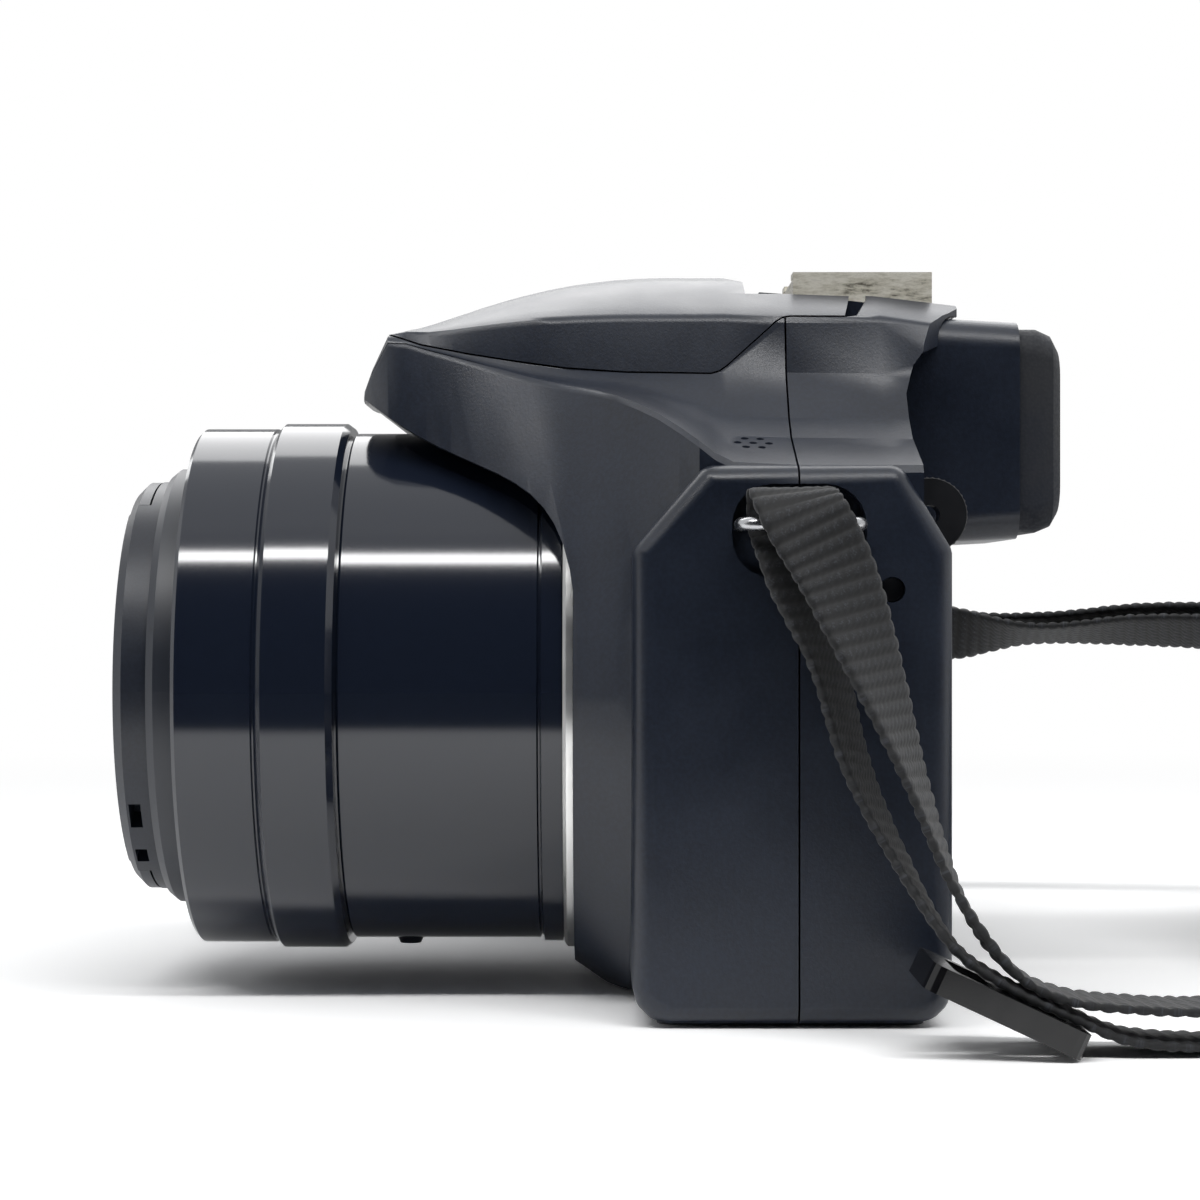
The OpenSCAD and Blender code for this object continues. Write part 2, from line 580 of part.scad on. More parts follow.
module hot_shoe() color("#a9a9a4") translate([0, shoe_y, deck_z - shoe_plate + 0.1]) {
    w = shoe_w / 2;
    out = w + shoe_rail;
    top = shoe_plate + shoe_slot + shoe_lip;
    difference() {
        union() {
            box([-out, 0, 0], [out, shoe_l, shoe_plate]);
            for (s = [-1, 1]) {
                box([min(s * w, s * out), 0, 0], [max(s * w, s * out), shoe_l, top]);
                box([min(s * (w - 3), s * out), 0, top - shoe_lip], [max(s * (w - 3), s * out), shoe_l, top]);
            }
            box([-w, 0, 0], [w, 1, shoe_plate + shoe_slot - 0.2]);
        }
        for (x = [-6, 0, 6], y = [7, 12]) translate([x, y, -1])
            cylinder(r = 0.9, h = shoe_plate + 2, $fn = 32);
    }
}

// Eye-level finder
finder_taper = 0.95;
finder_straight = hump_back + 2;
module finder_outline(g, s = 1) translate([0, (finder_low + finder_top) / 2]) scale([1, s])
    polygon(round_rect(2 * (finder_half + g), finder_top - finder_low + 2 * g, 4));
module finder_form(g, y0, y1) along_y(y0, y1) finder_outline(g);
module viewfinder_housing() color("#26272a") difference() {
    hull() {
        finder_form(0, hump_back - 3.2, finder_straight);
        along_y(finder_back - 0.4, finder_back) finder_outline(0, finder_taper);
    }
    along_y(hump_back - 2, finder_back - 2.4) translate([0, finder_eye]) polygon(round_rect(24, 19, 2));
    translate([0, 0, finder_eye]) rod_y(eyepiece_r + 0.05, 20, finder_back + 1);
}
finder_eye = (finder_low + finder_top) / 2;
module eyecup() color("#18191a") difference() {
    hull() {
        along_y(finder_back + 0.05, finder_back + 0.45 * eyecup_d) finder_outline(-0.7, finder_taper - 0.01);
        along_y(finder_back + 1, finder_back + 0.8 * eyecup_d) finder_outline(-1.4, finder_taper - 0.02);
        along_y(finder_back + 2, finder_back + eyecup_d) finder_outline(-3, finder_taper - 0.03);
    }
    along_y(finder_back - 1, finder_back + 9) translate([0, finder_eye]) polygon(round_rect(24, 17, 3));
    along_y(finder_back + 2.6, finder_back + 9) translate([0, finder_eye])
        polygon(round_rect(28, 18.4, 4));
}
module eyepiece_lens() color("#8fa3ad") translate([0, 0, finder_eye]) rotate([-90, 0, 0])
    rotate_extrude() polygon([[0, finder_back - 2.6], [eyepiece_r, finder_back - 1.8],
        [eyepiece_r, finder_back - 0.4], [0, finder_back - 0.2]]);
module viewfinder_display() color("#20242c") box([0.4 + wall - deck_half, hump_back - 4.8, finder_eye - 10],
    [deck_half - wall - 0.4, hump_back - 3.25, finder_eye + 10]);

// Monitor on the rear face
monitor_x = body_left - 4.5 - monitor_w / 2;
monitor_z = 5 + monitor_h / 2 - 1;
module monitor_space(g) along_y(body_rear - wall - 1, body_rear + 3) translate([monitor_x, monitor_z])
    polygon(round_rect(monitor_w + 2 * g, monitor_h + 2 * g, 1.5));
module monitor_window() color("#101214") along_y(body_rear - wall + 0.1, body_rear - 0.15)
    translate([monitor_x, monitor_z]) polygon(round_rect(monitor_w, monitor_h, 1.5));
module monitor_panel() color("#1b2027") along_y(body_rear - wall - 3.4, body_rear - wall - 0.05)
    translate([monitor_x, monitor_z]) square([monitor_w - 3, monitor_h - 2], center = true);

module main_board() color("#1f5a3a") difference() {
    box([-46, plate_y + 7.1, 9], [38, plate_y + 8.3, 56.4]);
    for (x = [-42, 34], z = [14, 54]) translate([x, 0, z]) rod_y(0.8, 0, 30);
}
module image_sensor() color("#3d4657") box([-6, plate_y + 2.1, axis_h - 5],
    [6, plate_y + 4, axis_h + 5]);

// Lens
barrel_y = -45.5;
flange_r = barrel_r + 0.45;
barrel_foot_y = barrel_y + 7;
module fixed_barrel() color("#15171b") {
    turned([[stage_one_r + zoom_fit, barrel_y], [barrel_r - 0.3, barrel_y], [barrel_r, barrel_y + 0.3],
        [barrel_r, collar_y - 4.5], [barrel_r - 0.3, collar_y - 4.3], [barrel_r - 0.3, collar_y - 4.1],
        [flange_r, collar_y - 3.9], [flange_r, collar_y - 1.5], [barrel_r, collar_y - 1.5],
        [barrel_r, collar_y + wall + 0.2], [tube_r, collar_y + wall + 0.2],
        [tube_r, collar_y + wall + 2.1], [stage_one_r + zoom_fit, collar_y + wall + 2.1]]);
    translate([0, barrel_foot_y, axis_h - barrel_r - 0.9]) cylinder(r1 = 1.4, r2 = 2.1, h = 1.6);
}
module barrel_ring() color("#17191d") turned([[stage_one_r + zoom_fit, -ring_reach],
    [ring_r - 0.5, -ring_reach], [ring_r, 0.5 - ring_reach], [ring_r, -55.9], [ring_r - 0.25, -55.7],
    [ring_r - 0.25, -55.5], [ring_rear_r, -54.6], [ring_rear_r, -46.7],
    [ring_rear_r - 0.6, barrel_y - 0.4], [barrel_r - 0.6, barrel_y - 0.4],
    [barrel_r - 0.6, barrel_y - 0.05], [stage_one_r + zoom_fit, barrel_y - 0.05]]);
module lens_mount_ring() color("#d9dadc") turned([[barrel_r + 0.15, collar_y - 1.3],
    [barrel_r + 0.7, collar_y - 1.3], [barrel_r + 1.2, collar_y - 0.9], [barrel_r + 1.2, collar_y - 0.05],
    [barrel_r + 0.15, collar_y - 0.05]]);
module zoom_barrel_outer() color("#141518") turned([
    [stage_one_r - stage_one_wall, -ring_reach + 0.4], [stage_one_r - 0.4, -ring_reach + 0.4],
    [stage_one_r, -ring_reach + 0.8], [stage_one_r, -22], [16, -22], [16, -24],
    [stage_one_r - stage_one_wall, -24]]);
module zoom_lens_group() color("#9fb4c4") turned([[0, -26.5], [9, -25.9], [15.9, -24.4], [15.9, -21.6],
    [0, -21.6]]);
module zoom_barrel_inner() color("#141518") turned([[filter_r, -stage_two_reach],
    [stage_two_r - 0.8, -stage_two_reach], [stage_two_r, 1 - stage_two_reach], [stage_two_r, -27],
    [stage_two_r - 1.6, -27], [stage_two_r - 1.6, 7.6 - stage_two_reach + filter_depth],
    [front_glass_r - 1.5, 7.6 - stage_two_reach + filter_depth],
    [front_glass_r - 1.5, 6 - stage_two_reach + filter_depth],
    [front_glass_r + 0.1, 6 - stage_two_reach + filter_depth],
    [front_glass_r + 0.1, 1.6 - stage_two_reach + filter_depth],
    [filter_r - 0.2, 1.6 - stage_two_reach + filter_depth],
    [filter_r, 1.4 - stage_two_reach + filter_depth]]);
glass_y = 5.9 - stage_two_reach + filter_depth;
module front_lens() color("#7f93a8") turned([[0, glass_y - 6.2], [8, glass_y - 5.8],
    [15, glass_y - 4.9], [20.4, glass_y - 3.6], [front_glass_r, glass_y - 2.2],
    [front_glass_r, glass_y], [0, glass_y]]);
module front_ring() color("#1b1c1f") turned([[front_glass_r - 1.2, 0.2 - stage_two_reach + filter_depth],
    [filter_r - 0.6, -0.2 - stage_two_reach + filter_depth],
    [filter_r - 0.6, 1.5 - stage_two_reach + filter_depth],
    [front_glass_r - 0.1, 1.5 - stage_two_reach + filter_depth],
    [front_glass_r - 1.2, 1.4 - stage_two_reach + filter_depth]]);
module rear_lens_group() color("#9fb4c4") turned([[0, -3.4], [6, -2.9], [11.9, -1.6], [11.9, 1.5],
    [7, 2.6], [0, 3]]);

// Zoom drive: toothed ring behind the barrels, turned by a motor pinion
module gear(teeth, h) linear_extrude(h) polygon([for (i = [0 : teeth - 1], s = [0 : 3])
    let (a = 360 / teeth * (i + [-0.34, -0.13, 0.13, 0.34][s]),
         r = drive_module * (teeth / 2 + (s == 0 || s == 3 ? -1.15 : 0.8)))
    [r * cos(a), r * sin(a)]]);
drive_y = -6.2;
drive_w = 5;
pinion_outer = drive_module * (pinion_teeth / 2 + 0.8);
gear_distance = drive_module * (drive_teeth + pinion_teeth) / 2 + 0.15;
pinion_angle = 200;
pinion_at = [gear_distance * cos(pinion_angle), axis_h + gear_distance * sin(pinion_angle)];
module drive_ring() color("#c9c6bb") translate([0, drive_y, axis_h]) rotate([-90, 0, 0]) difference() {
    rotate([0, 0, -pinion_angle]) gear(drive_teeth, drive_w);
    translate([0, 0, -1]) cylinder(r = drive_module * drive_teeth / 2 - 4, h = drive_w + 2);
}
module zoom_pinion() color("#d8c58a") translate([pinion_at[0], drive_y, pinion_at[1]])
    rotate([-90, 0, 0]) difference() {
        rotate([0, 0, 180 - pinion_angle + 180 / pinion_teeth]) gear(pinion_teeth, drive_w);
        translate([0, 0, -1]) cylinder(r = 0.85, h = drive_w + 2, $fn = 32);
    }
module zoom_motor() color("#8d9196") translate([pinion_at[0], 0, pinion_at[1]]) {
    rod_y(6, 0.4, 12);
    rod_y(0.8, drive_y - 0.3, 1, $fn = 32);
}

// Lens cap with its two pinch tabs
cap_y = -stage_two_reach - 0.1;
tab_half = 13;
tab_low = 13.5;
module tab_pocket(s) box([-tab_half - key_fit, cap_y - cap_t - 1,
        axis_h + (s > 0 ? tab_low - tab_travel - 0.4 : -40)],
    [tab_half + key_fit, cap_y - 1.4, axis_h + (s > 0 ? 40 : tab_travel + 0.4 - tab_low)]);
module lens_cap() color("#202225") difference() {
    turned([[0, 2.2 + cap_y], [filter_r - 1, 2.2 + cap_y], [filter_r - 1, cap_y], [cap_r, cap_y],
        [cap_r, cap_y - cap_t + 1.2], [cap_r - 1.2, cap_y - cap_t], [19, cap_y - cap_t],
        [18.4, cap_y - cap_t + 0.5], [0, cap_y - cap_t + 0.5]]);
    for (s = [-1, 1]) tab_pocket(s);
    for (a = [36, 52]) translate([0, 0, axis_h]) rotate([0, a, 0])
        box([cap_r - 3.2, cap_y - cap_t + 1.5, a == 36 ? -1.9 : -1.4],
            [cap_r + 3, cap_y - 1.3, a == 36 ? 1.9 : 1.4]);
    turned([[0, cap_y + 3], [filter_r - 3, cap_y + 3], [filter_r - 3, cap_y - 0.4], [0, cap_y - 0.4]]);
}
module cap_tab() intersection() {
    turned([[0, cap_y - 1.7], [cap_r - 0.1, cap_y - 1.7], [cap_r - 0.1, cap_y - cap_t + 1.3],
        [cap_r - 1.3, cap_y - cap_t + 0.1], [0, cap_y - cap_t + 0.1]]);
    box([-tab_half, -90, axis_h + tab_low], [tab_half, 0, axis_h + 40]);
}
module ribbed_tab() difference() {
    cap_tab();
    for (i = [0 : 4]) translate([0, cap_y - cap_t, axis_h + tab_low + 2.2 + 1.9 * i])
        rod_x(0.45, -9, 9, $fn = 16);
}
module cap_tab_upper() color("#232528") ribbed_tab();
module cap_tab_lower() color("#232528") translate([0, 0, 2 * axis_h]) mirror([0, 0, 1]) ribbed_tab();

// Pop-up flash
flash_box = [[-13.5, -31, hood_h - 15.8], [13.5, -19, hood_h - 10.6]];
module flash_lid() color("#2d2f33") difference() {
    union() {
        difference() {
            intersection() {
                hood_form(0);
                lid_region(seam_gap);
            }
            deck_space(seam_gap + 0.3);
            difference() {
                hood_form(wall);
                for (s = [-1, 1]) box([s > 0 ? ear_x[0] : -ear_x[1], 11, lid_level - 2],
                    [s > 0 ? ear_x[1] : -ear_x[0], 30, hood_h]);
            }
        }
        intersection() {
            flash_ears(ear_r, 0);
            hood_form(0.02);
        }
        intersection() {
            box(flash_box[0], flash_box[1] + [0, 0, 7]);
            hood_form(0.5);
        }
        for (y = [-16, -10, -4, 2], s = [-1, 1]) lid_rib(y, s);
    }
    box(flash_box[0] + [1.2, -1, 1.2], flash_box[1] - [1.2, 1.2, 0]);
    along_x(-40, 40) polygon([[deck_y - 2.7, hood_h], [deck_y + 0.4, hood_h - 1.5],
        [deck_y + 1.2, hood_h - 1.5], [deck_y + 1.2, hood_h + 9], [deck_y - 2.7, hood_h + 9]]);
    translate([0, flash_hinge_back, flash_hinge_h])
        rod_x(flash_pin_r + flash_pin_fit, -deck_half - 1.45, deck_half + 1.45);
}
// Tapered stiffening rib under one side of the lid
module lid_rib(y, s) intersection() {
    hood_form(wall / 2);
    hull() {
        box([s * 10 - 7, y - 0.8, hood_h - 2], [s * 10 + 7, y + 0.8, hood_h]);
        box([s * 10 - 4, y - 0.4, hood_h - 7], [s * 10 + 4, y + 0.4, hood_h - 6]);
    }
}
module flash_hinge_pin() color("#b5b7ba") translate([0, flash_hinge_back, flash_hinge_h])
    rod_x(flash_pin_r, -deck_half - 1.3, deck_half + 1.3);
module flash_window() color("#e6e8e4") box(flash_box[0] + [1.35, 0.1, 1.35],
    [flash_box[1][0] - 1.35, flash_box[0][1] + 1.1, flash_box[1][2] - 0.15]);
module flash_reflector() color("#cfd2d4") difference() {
    box(flash_box[0] + [1.4, 1.3, 1.4], flash_box[1] - [1.4, 1.4, 0.2]);
    along_x(-11.4, 11.4) polygon([[flash_box[0][1] + 1, flash_box[0][2] + 1.8],
        [flash_box[0][1] + 1, flash_box[1][2] - 0.6], [flash_box[1][1] - 3.4, flash_box[1][2] - 1.6],
        [flash_box[1][1] - 3.4, flash_box[0][2] + 2.6]]);
}
release_at = [0, 8.4];
module release_space() box([release_at[0] - 4 - 0.2, release_at[1] - 1.4 - 0.2, deck_z - 0.9],
    [release_at[0] + 6.5 + 0.2, release_at[1] + 1.4 + 0.2, deck_z + 4]);
module flash_release() color("#17181a") translate([release_at[0], release_at[1], deck_z - 0.8]) {
    box([-4, -1.4, 0], [4, 1.4, 1]);
    for (i = [-3 : 1 : 3]) box([i - 0.2, -1.2, 0.9], [i + 0.2, 1.2, 1.3]);
}

// Top controls
module knurl(r, n, h) for (i = [0 : n - 1]) rotate([0, 0, 360 / n * i]) translate([r + 0.25, 0, -1])
    cylinder(r = 0.6, h = h, $fn = 12);
module mode_dial() color("#1f2023") translate([dial_at[0], dial_at[1], 0]) {
    translate([0, 0, shoulder_h - 4]) cylinder(r = 2.95, h = 5);
    difference() {
        translate([0, 0, shoulder_h + 0.3]) rotate_extrude() polygon([[0, 0], [mode_r - 0.5, 0],
            [mode_r, 0.5], [mode_r, mode_h - 0.8], [mode_r - 0.8, mode_h], [0, mode_h]]);
        translate([0, 0, shoulder_h + 1.4]) knurl(mode_r, 36, mode_h - 1);
        translate([0, 0, shoulder_h + mode_h]) cylinder(r = mode_r - 3, h = 3);
    }
}
module zoom_lever() color("#1c1d20") translate([shutter_at[0], shutter_at[1], turret_z + 0.2]) difference() {
    union() {
        rotate_extrude() polygon([[0, 0], [lever_r - 0.4, 0], [lever_r, 0.4], [lever_r, 2.2],
            [lever_r - 0.6, 2.8], [0, 2.8]]);
        box([-1.6, -lever_r - 2.6, 0.3], [1.6, -lever_r + 2, 2.6]);
    }
    translate([0, 0, -1]) cylinder(r = shutter_r + 0.85, h = 6);
}
module shutter_button() color("#3a3c40") translate([shutter_at[0], shutter_at[1], turret_z - 1])
    rotate_extrude() polygon([[0, 0], [shutter_r, 0], [shutter_r, 4.6], [shutter_r - 0.6, 5.2], [2.5, 4.8],
        [0, 4.7]]);
module power_switch() color("#26282b") translate([power_at[0], power_at[1], 0]) {
    translate([0, 0, shoulder_h - 4]) cylinder(r = 2.05, h = 5);
    translate([0, 0, shoulder_h + 0.25]) rotate_extrude() polygon([[0, 0], [4.6, 0], [5, 0.4], [5, 1.6],
        [4.5, 2.1], [0, 2.1]]);
    translate([0, 0, shoulder_h + 0.6]) box([-1.1, -7.4, 0], [1.1, 0, 2.1]);
}
module movie_button() color("#242528") translate([movie_at[0], movie_at[1], shoulder_h - 2])
    rotate_extrude() polygon([[0, 0], [3.2, 0], [3.2, 2.3], [2.8, 2.7], [0, 2.5]]);

// Rear controls
cursor_at = [-54, 24];
cursor_y = body_rear - wall / 2;
cursor_pin_r = 0.5;
monitor_right = monitor_x - monitor_w / 2;
finder_key_at = [monitor_right - 8.5, shoulder_h - 15.2];
playback_key_at = [monitor_right - 17.5, shoulder_h - 22.2];
thumb_at = [-73, shoulder_h - 30.2];
wheel_at = [-64, body_rear + 1.3 - wheel_r];
wheel_z = [shoulder_h - 17.2, shoulder_h - 12.8];
module key_hole(p, r) translate([p[0], 0, p[1]]) rod_y(r, body_rear - wall - 2, body_rear + 3);
module rear_keys_space() {
    key_hole(cursor_at, cursor_r + key_fit);
    key_hole(finder_key_at, key_r + key_fit);
    key_hole(playback_key_at, key_r + key_fit);
    box([wheel_at[0] - 7, body_rear - wall - 2, wheel_z[0] - key_fit], [wheel_at[0] + 7, body_rear + 3,
        wheel_z[1] + key_fit]);
    translate([wheel_at[0], wheel_at[1], wheel_z[0] - key_fit])
        cylinder(r = wheel_r + key_fit, h = wheel_z[1] - wheel_z[0] + 2 * key_fit);
    along_y(body_rear - 0.5, body_rear + 4) translate(thumb_at) polygon(round_rect(14.3, 18.3, 4));
    translate([cursor_at[0], cursor_y, cursor_at[1]])
        rod_x(cursor_pin_r + 0.15, -cursor_r - 1.2, cursor_r + 1.2, $fn = 32);
}
module key(p, r) translate([p[0], body_rear - wall - 0.6, p[1]]) rotate([-90, 0, 0])
    rotate_extrude() polygon([[0, 0], [r, 0], [r, wall + 0.9], [r - 0.3, wall + 1.2], [0, wall + 1.1]]);
module finder_key() color("#222427") key(finder_key_at, key_r);
module playback_key() color("#222427") key(playback_key_at, key_r);
module set_key() color("#2a2c2f") key(cursor_at, set_r);
module cursor_ring() color("#222427") translate([cursor_at[0], 0, cursor_at[1]]) {
    translate([0, body_rear - wall - 0.6, 0]) rotate([-90, 0, 0]) rotate_extrude()
        polygon([[set_r + 0.4, 0], [cursor_r, 0], [cursor_r, wall + 0.8], [cursor_r - 0.5, wall + 1.3],
            [set_r + 1.4, wall + 0.9], [set_r + 0.4, wall + 0.6]]);
    for (s = [-1, 1]) translate([s * cursor_r, cursor_y, 0]) rod_x(cursor_pin_r, -1, 1, $fn = 32);
}
module rear_dial() color("#1d1e21") translate([wheel_at[0], wheel_at[1], wheel_z[0]]) difference() {
    cylinder(r = wheel_r, h = wheel_z[1] - wheel_z[0]);
    knurl(wheel_r, 40, 9);
    translate([0, 0, -1]) cylinder(r = 1.5, h = 9);
}
dioptre_at = [27.4, 60.8];
dioptre_x = [24.4, 28.2];
module dioptre_space() translate([0, dioptre_at[0], dioptre_at[1]])
    rod_x(dioptre_r + key_fit, dioptre_x[0] - key_fit, dioptre_x[1] + key_fit);
module dioptre_dial() color("#27292c") translate([dioptre_x[0], dioptre_at[0], dioptre_at[1]])
    rotate([0, 90, 0]) difference() {
        rotate_extrude() polygon([[1.2, 0], [dioptre_r - 0.4, 0], [dioptre_r, 0.4],
            [dioptre_r, dioptre_x[1] - dioptre_x[0] - 0.4], [dioptre_r - 0.4, dioptre_x[1] - dioptre_x[0]],
            [1.2, dioptre_x[1] - dioptre_x[0]]]);
        knurl(dioptre_r, 40, 9);
    }
module thumb_rest() color("#1d1e20") along_y(body_rear - 0.45, body_rear + 0.6) translate(thumb_at)
    polygon(round_rect(14, 18, 4));

// Battery, card, doors and sockets
module battery() color("#3c3f44") box(battery_a, battery_b);
module memory_card() color("#2f4f8f") box([-60.1, -22, 4], [-58, 2, 36]);
module battery_door() color("#26282b") difference() {
    union() {
        box([door_x[0], door_y[0], 0], [door_x[1], door_hinge_y, base_t]);
        translate([0, door_hinge_y, door_hinge_z]) rod_x(0.95, door_x[0], door_x[1], $fn = 32);
        translate([0, door_hinge_y, door_hinge_z]) rod_x(0.6, door_x[0] - 0.8, door_x[1] + 0.8, $fn = 32);
    }
    box([-72.2, door_y[0] + 2.8, -1], [-63.8, door_y[0] + 10.2, 1]);
}
module battery_latch() color("#1f2023") union() {
    box([-72, door_y[0] + 3, 0.15], [-64, door_y[0] + 7.4, 0.9]);
    for (i = [0 : 3]) box([-71, door_y[0] + 3.6 + i, 0.02], [-65, door_y[0] + 4 + i, 0.2]);
}
module port_cover() color("#26282b") union() {
    box([-grip_right + 0.05, port_hinge_y, port_z[0]], [-grip_right + 1.7, port_y[1], port_z[1]]);
    translate([port_hinge_x, port_hinge_y, port_z[0]]) {
        cylinder(r = 0.85, h = port_z[1] - port_z[0], $fn = 32);
        translate([0, 0, -1]) cylinder(r = 0.6, h = port_z[1] - port_z[0] + 2, $fn = 32);
    }
}
module side_sockets() color("#8b8e92") for (z = [[16, 27], [29, 37]]) difference() {
    box([2.6 - grip_right, port_y[0] + 2, z[0]], [9 - grip_right, port_y[0] + 6, z[1]]);
    box([-100, port_y[0] + 2.6, z[0] + 0.6], [7.5 - grip_right, port_y[0] + 5.4, z[1] - 0.6]);
}
module strap_lugs() color("#c3c5c7") {
    translate([body_left, lug_y, lug_z]) lug(4.6);
    translate([-grip_right, lug_y, far_lug_z]) mirror([1, 0, 0]) lug(4.6);
}
module screw() difference() {
    union() {
        cylinder(r = 1.35, h = 0.9, $fn = 32);
        cylinder(r = 0.7, h = 5, $fn = 32);
    }
    box([-0.9, -0.2, -1], [0.9, 0.2, 0.4]);
    box([-0.2, -0.9, -1], [0.2, 0.9, 0.4]);
}
module case_screws() color("#1c1d1f") {
    for (x = base_screws) translate([x, plate_y + 1, 0]) screw();
    translate([body_left - 1.2, 20.9, 51.5]) rotate([0, -90, 0]) cylinder(r = 1.35, h = 0.9, $fn = 32);
}

// Strap: each stretch lists points on its middle line and the way its width faces
wide_y = [0, 1, 0];
wide_x = [1, 0, 0];
wide_z = [0, 0, 1];
band_at = [-30, 122];
near_route = [
    [[61, 63, 1], -wide_x], [[61.5, 54, 1], -wide_x], [[62, 45, 1.8], -wide_x], [[62, 38.6, 4.4], -wide_x],
    [[62, 31, 8], -wide_x], [[61, 25.8, 12], 0.05 * wide_y - wide_x], [[57.4, 21, 20], 0.2 * wide_y - wide_x],
    [[54, 16, 31], wide_y - 2.6 * wide_x], [[51.4, 13, 43], wide_y - 1.7 * wide_x],
    [[49.2, 10.2, lug_z - 5.1], wide_y - 0.3 * wide_x], [[46.4, 9, lug_z - 0.1], wide_y],
    [[48.6, 8.8, lug_z + 3.7], wide_y], [[52.4, 10, lug_z + 1.3], wide_y],
    [[54.2, 13.8, lug_z - 6.1], wide_y - 0.36 * wide_x], [[56.2, 18, 42], wide_y - 1.1 * wide_x],
    [[58, 22, 30.5], wide_y - 2.8 * wide_x], [[60, 25.8, 19.5], 0.15 * wide_y - wide_x],
    [[61.6, 29.2, 13], -wide_x], [[62, 33.4, 8.4], -wide_x], [[62.3, 38.5, 6.2], -wide_x],
    [[62.4, 45, 5.4], -wide_x], [[61.6, 54, 5], -wide_x], [[58.4, 66, 5.4], -wide_x],
    [[50, 77, 9], -wide_x - wide_z], [[36, 83.5, 15], -wide_z], [[18, 84, 19], -wide_z],
    [[-2, 82.2, 20], -wide_z], [[-19, 82, 20], -wide_z]];
far_route = [
    [[-64, 122, 42.4], wide_y], [[-70, 112, 43.4], wide_x + wide_y], [[-75, 101, 44], wide_x],
    [[-80, 88, 45], wide_x + 0.5 * wide_z], [[-83.4, 74, 45.4], wide_x + 0.5 * wide_z],
    [[-85.4, 58, 44.8], wide_x + 0.3 * wide_z], [[-86.6, 42, 45], wide_y + wide_z + 0.6 * wide_x],
    [[-86.6, 27, 47.6], wide_y], [[-85.6, 14.4, 51], wide_y],
    [[-85.4, 9.4, 53.8], wide_y + 0.3 * wide_z], [[-88.4, 8.2, 55.4], wide_y], [[-90.8, 10.6, 53], wide_y],
    [[-90, 21, 50.4], wide_y], [[-89.4, 33, 48.6], wide_y + wide_z],
    [[-88.6, 46, 46.9], wide_x + 0.3 * wide_z], [[-87.4, 60, 46.6], wide_x + 0.3 * wide_z],
    [[-85, 75, 47.2], wide_x + 0.5 * wide_z], [[-81, 89, 47], wide_x + 0.5 * wide_z],
    [[-75.5, 102, 46.4], wide_x], [[-68, 114, 46], wide_x + wide_y], [[-58, 124, 45.4], wide_y],
    [[-50, 130, 41], wide_y + wide_z], [[-44.6, 128, 34], wide_z], [[-45, 116, 27], wide_z],
    [[-41, 105, 22], wide_z], [[-32, 99.6, 20], wide_z], [[-22, 98.6, 20], wide_z]];

// Flat bar with softened edges, swept along a smooth route
function bar(w, t) = [[w / 2, t / 4], [w / 2 - t / 4, t / 2], [t / 4 - w / 2, t / 2], [-w / 2, t / 4],
    [-w / 2, -t / 4], [t / 4 - w / 2, -t / 2], [w / 2 - t / 4, -t / 2], [w / 2, -t / 4]];
module swept(line, side, w, t) {
    n = len(line);
    outline = bar(w, t);
    rings = [for (i = [0 : n - 1])
        let (d = unit(line[min(i + 1, n - 1)] - line[max(i - 1, 0)]),
             a = unit(side[i] - d * (d * side[i])), b = cross(d, a))
        [for (q = outline) line[i] + a * q[0] + b * q[1]]];
    polyhedron(points = [for (r = rings, p = r) p],
        faces = concat([[for (i = [0 : 7]) i]], [[for (i = [7 : -1 : 0]) (n - 1) * 8 + i]],
            [for (s = [0 : n - 2], i = [0 : 7]) let (j = (i + 1) % 8)
                [s * 8 + i, s * 8 + 8 + j, s * 8 + j]],
            [for (s = [0 : n - 2], i = [0 : 7]) let (j = (i + 1) % 8)
                [s * 8 + i, s * 8 + 8 + i, s * 8 + 8 + j]]));
}
module strap(route, steps) {
    points = [for (p = route) p[0]];
    sides = [for (p = route) unit(p[1])];
    at = [for (i = [0 : (len(route) - 1) * steps]) i / steps];
    swept([for (t = at) spline(points, t)], [for (t = at) spline(sides, t)], web_w, web_t);
}
module strap_near() color("#202124") strap(near_route, 2);
module strap_far() color("#202124") strap(far_route, 2);
// Neck band rolled up on its edge, and the least gap between its turns
band_turns = 3;
band_steps = 24;
band_outer_r = 39.6;
band_inner_r = 25;
band_start = -75;
band_line = [for (i = [0 : band_steps * band_turns]) let (t = i / (band_steps * band_turns),
    a = band_start - 360 * band_turns * t, r = band_outer_r + (band_inner_r - band_outer_r) * t)
    [band_at[0] + r * cos(a), band_at[1] + r * sin(a), band_w / 2]];
band_gap = min([for (i = [0 : len(band_line) - 1 - band_steps])
    norm(band_line[i] - band_line[i + band_steps])]) - band_t;
module neck_band() color("#1c1d20") {
    echo(neck_band_least_gap = band_gap);
    swept(band_line, [for (p = band_line) wide_z], band_w, band_t);
}
module adjuster() difference() {
    translate([0, 0, -1.5]) linear_extrude(3) polygon(round_rect(16, 19, 1.5, 3));
    for (s = [-1, 1]) translate([0, s * 4.4, -3]) linear_extrude(6)
        polygon(round_rect(web_w + 1.4, 4.6, 0.8, 3));
}
module strap_adjusters() color("#17181a") {
    translate([62, 31, 5.5]) rotate([-25, 0, 0]) adjuster();
    translate([-73.4, 106, 44.9]) rotate([0, 0, 28]) adjuster();
}

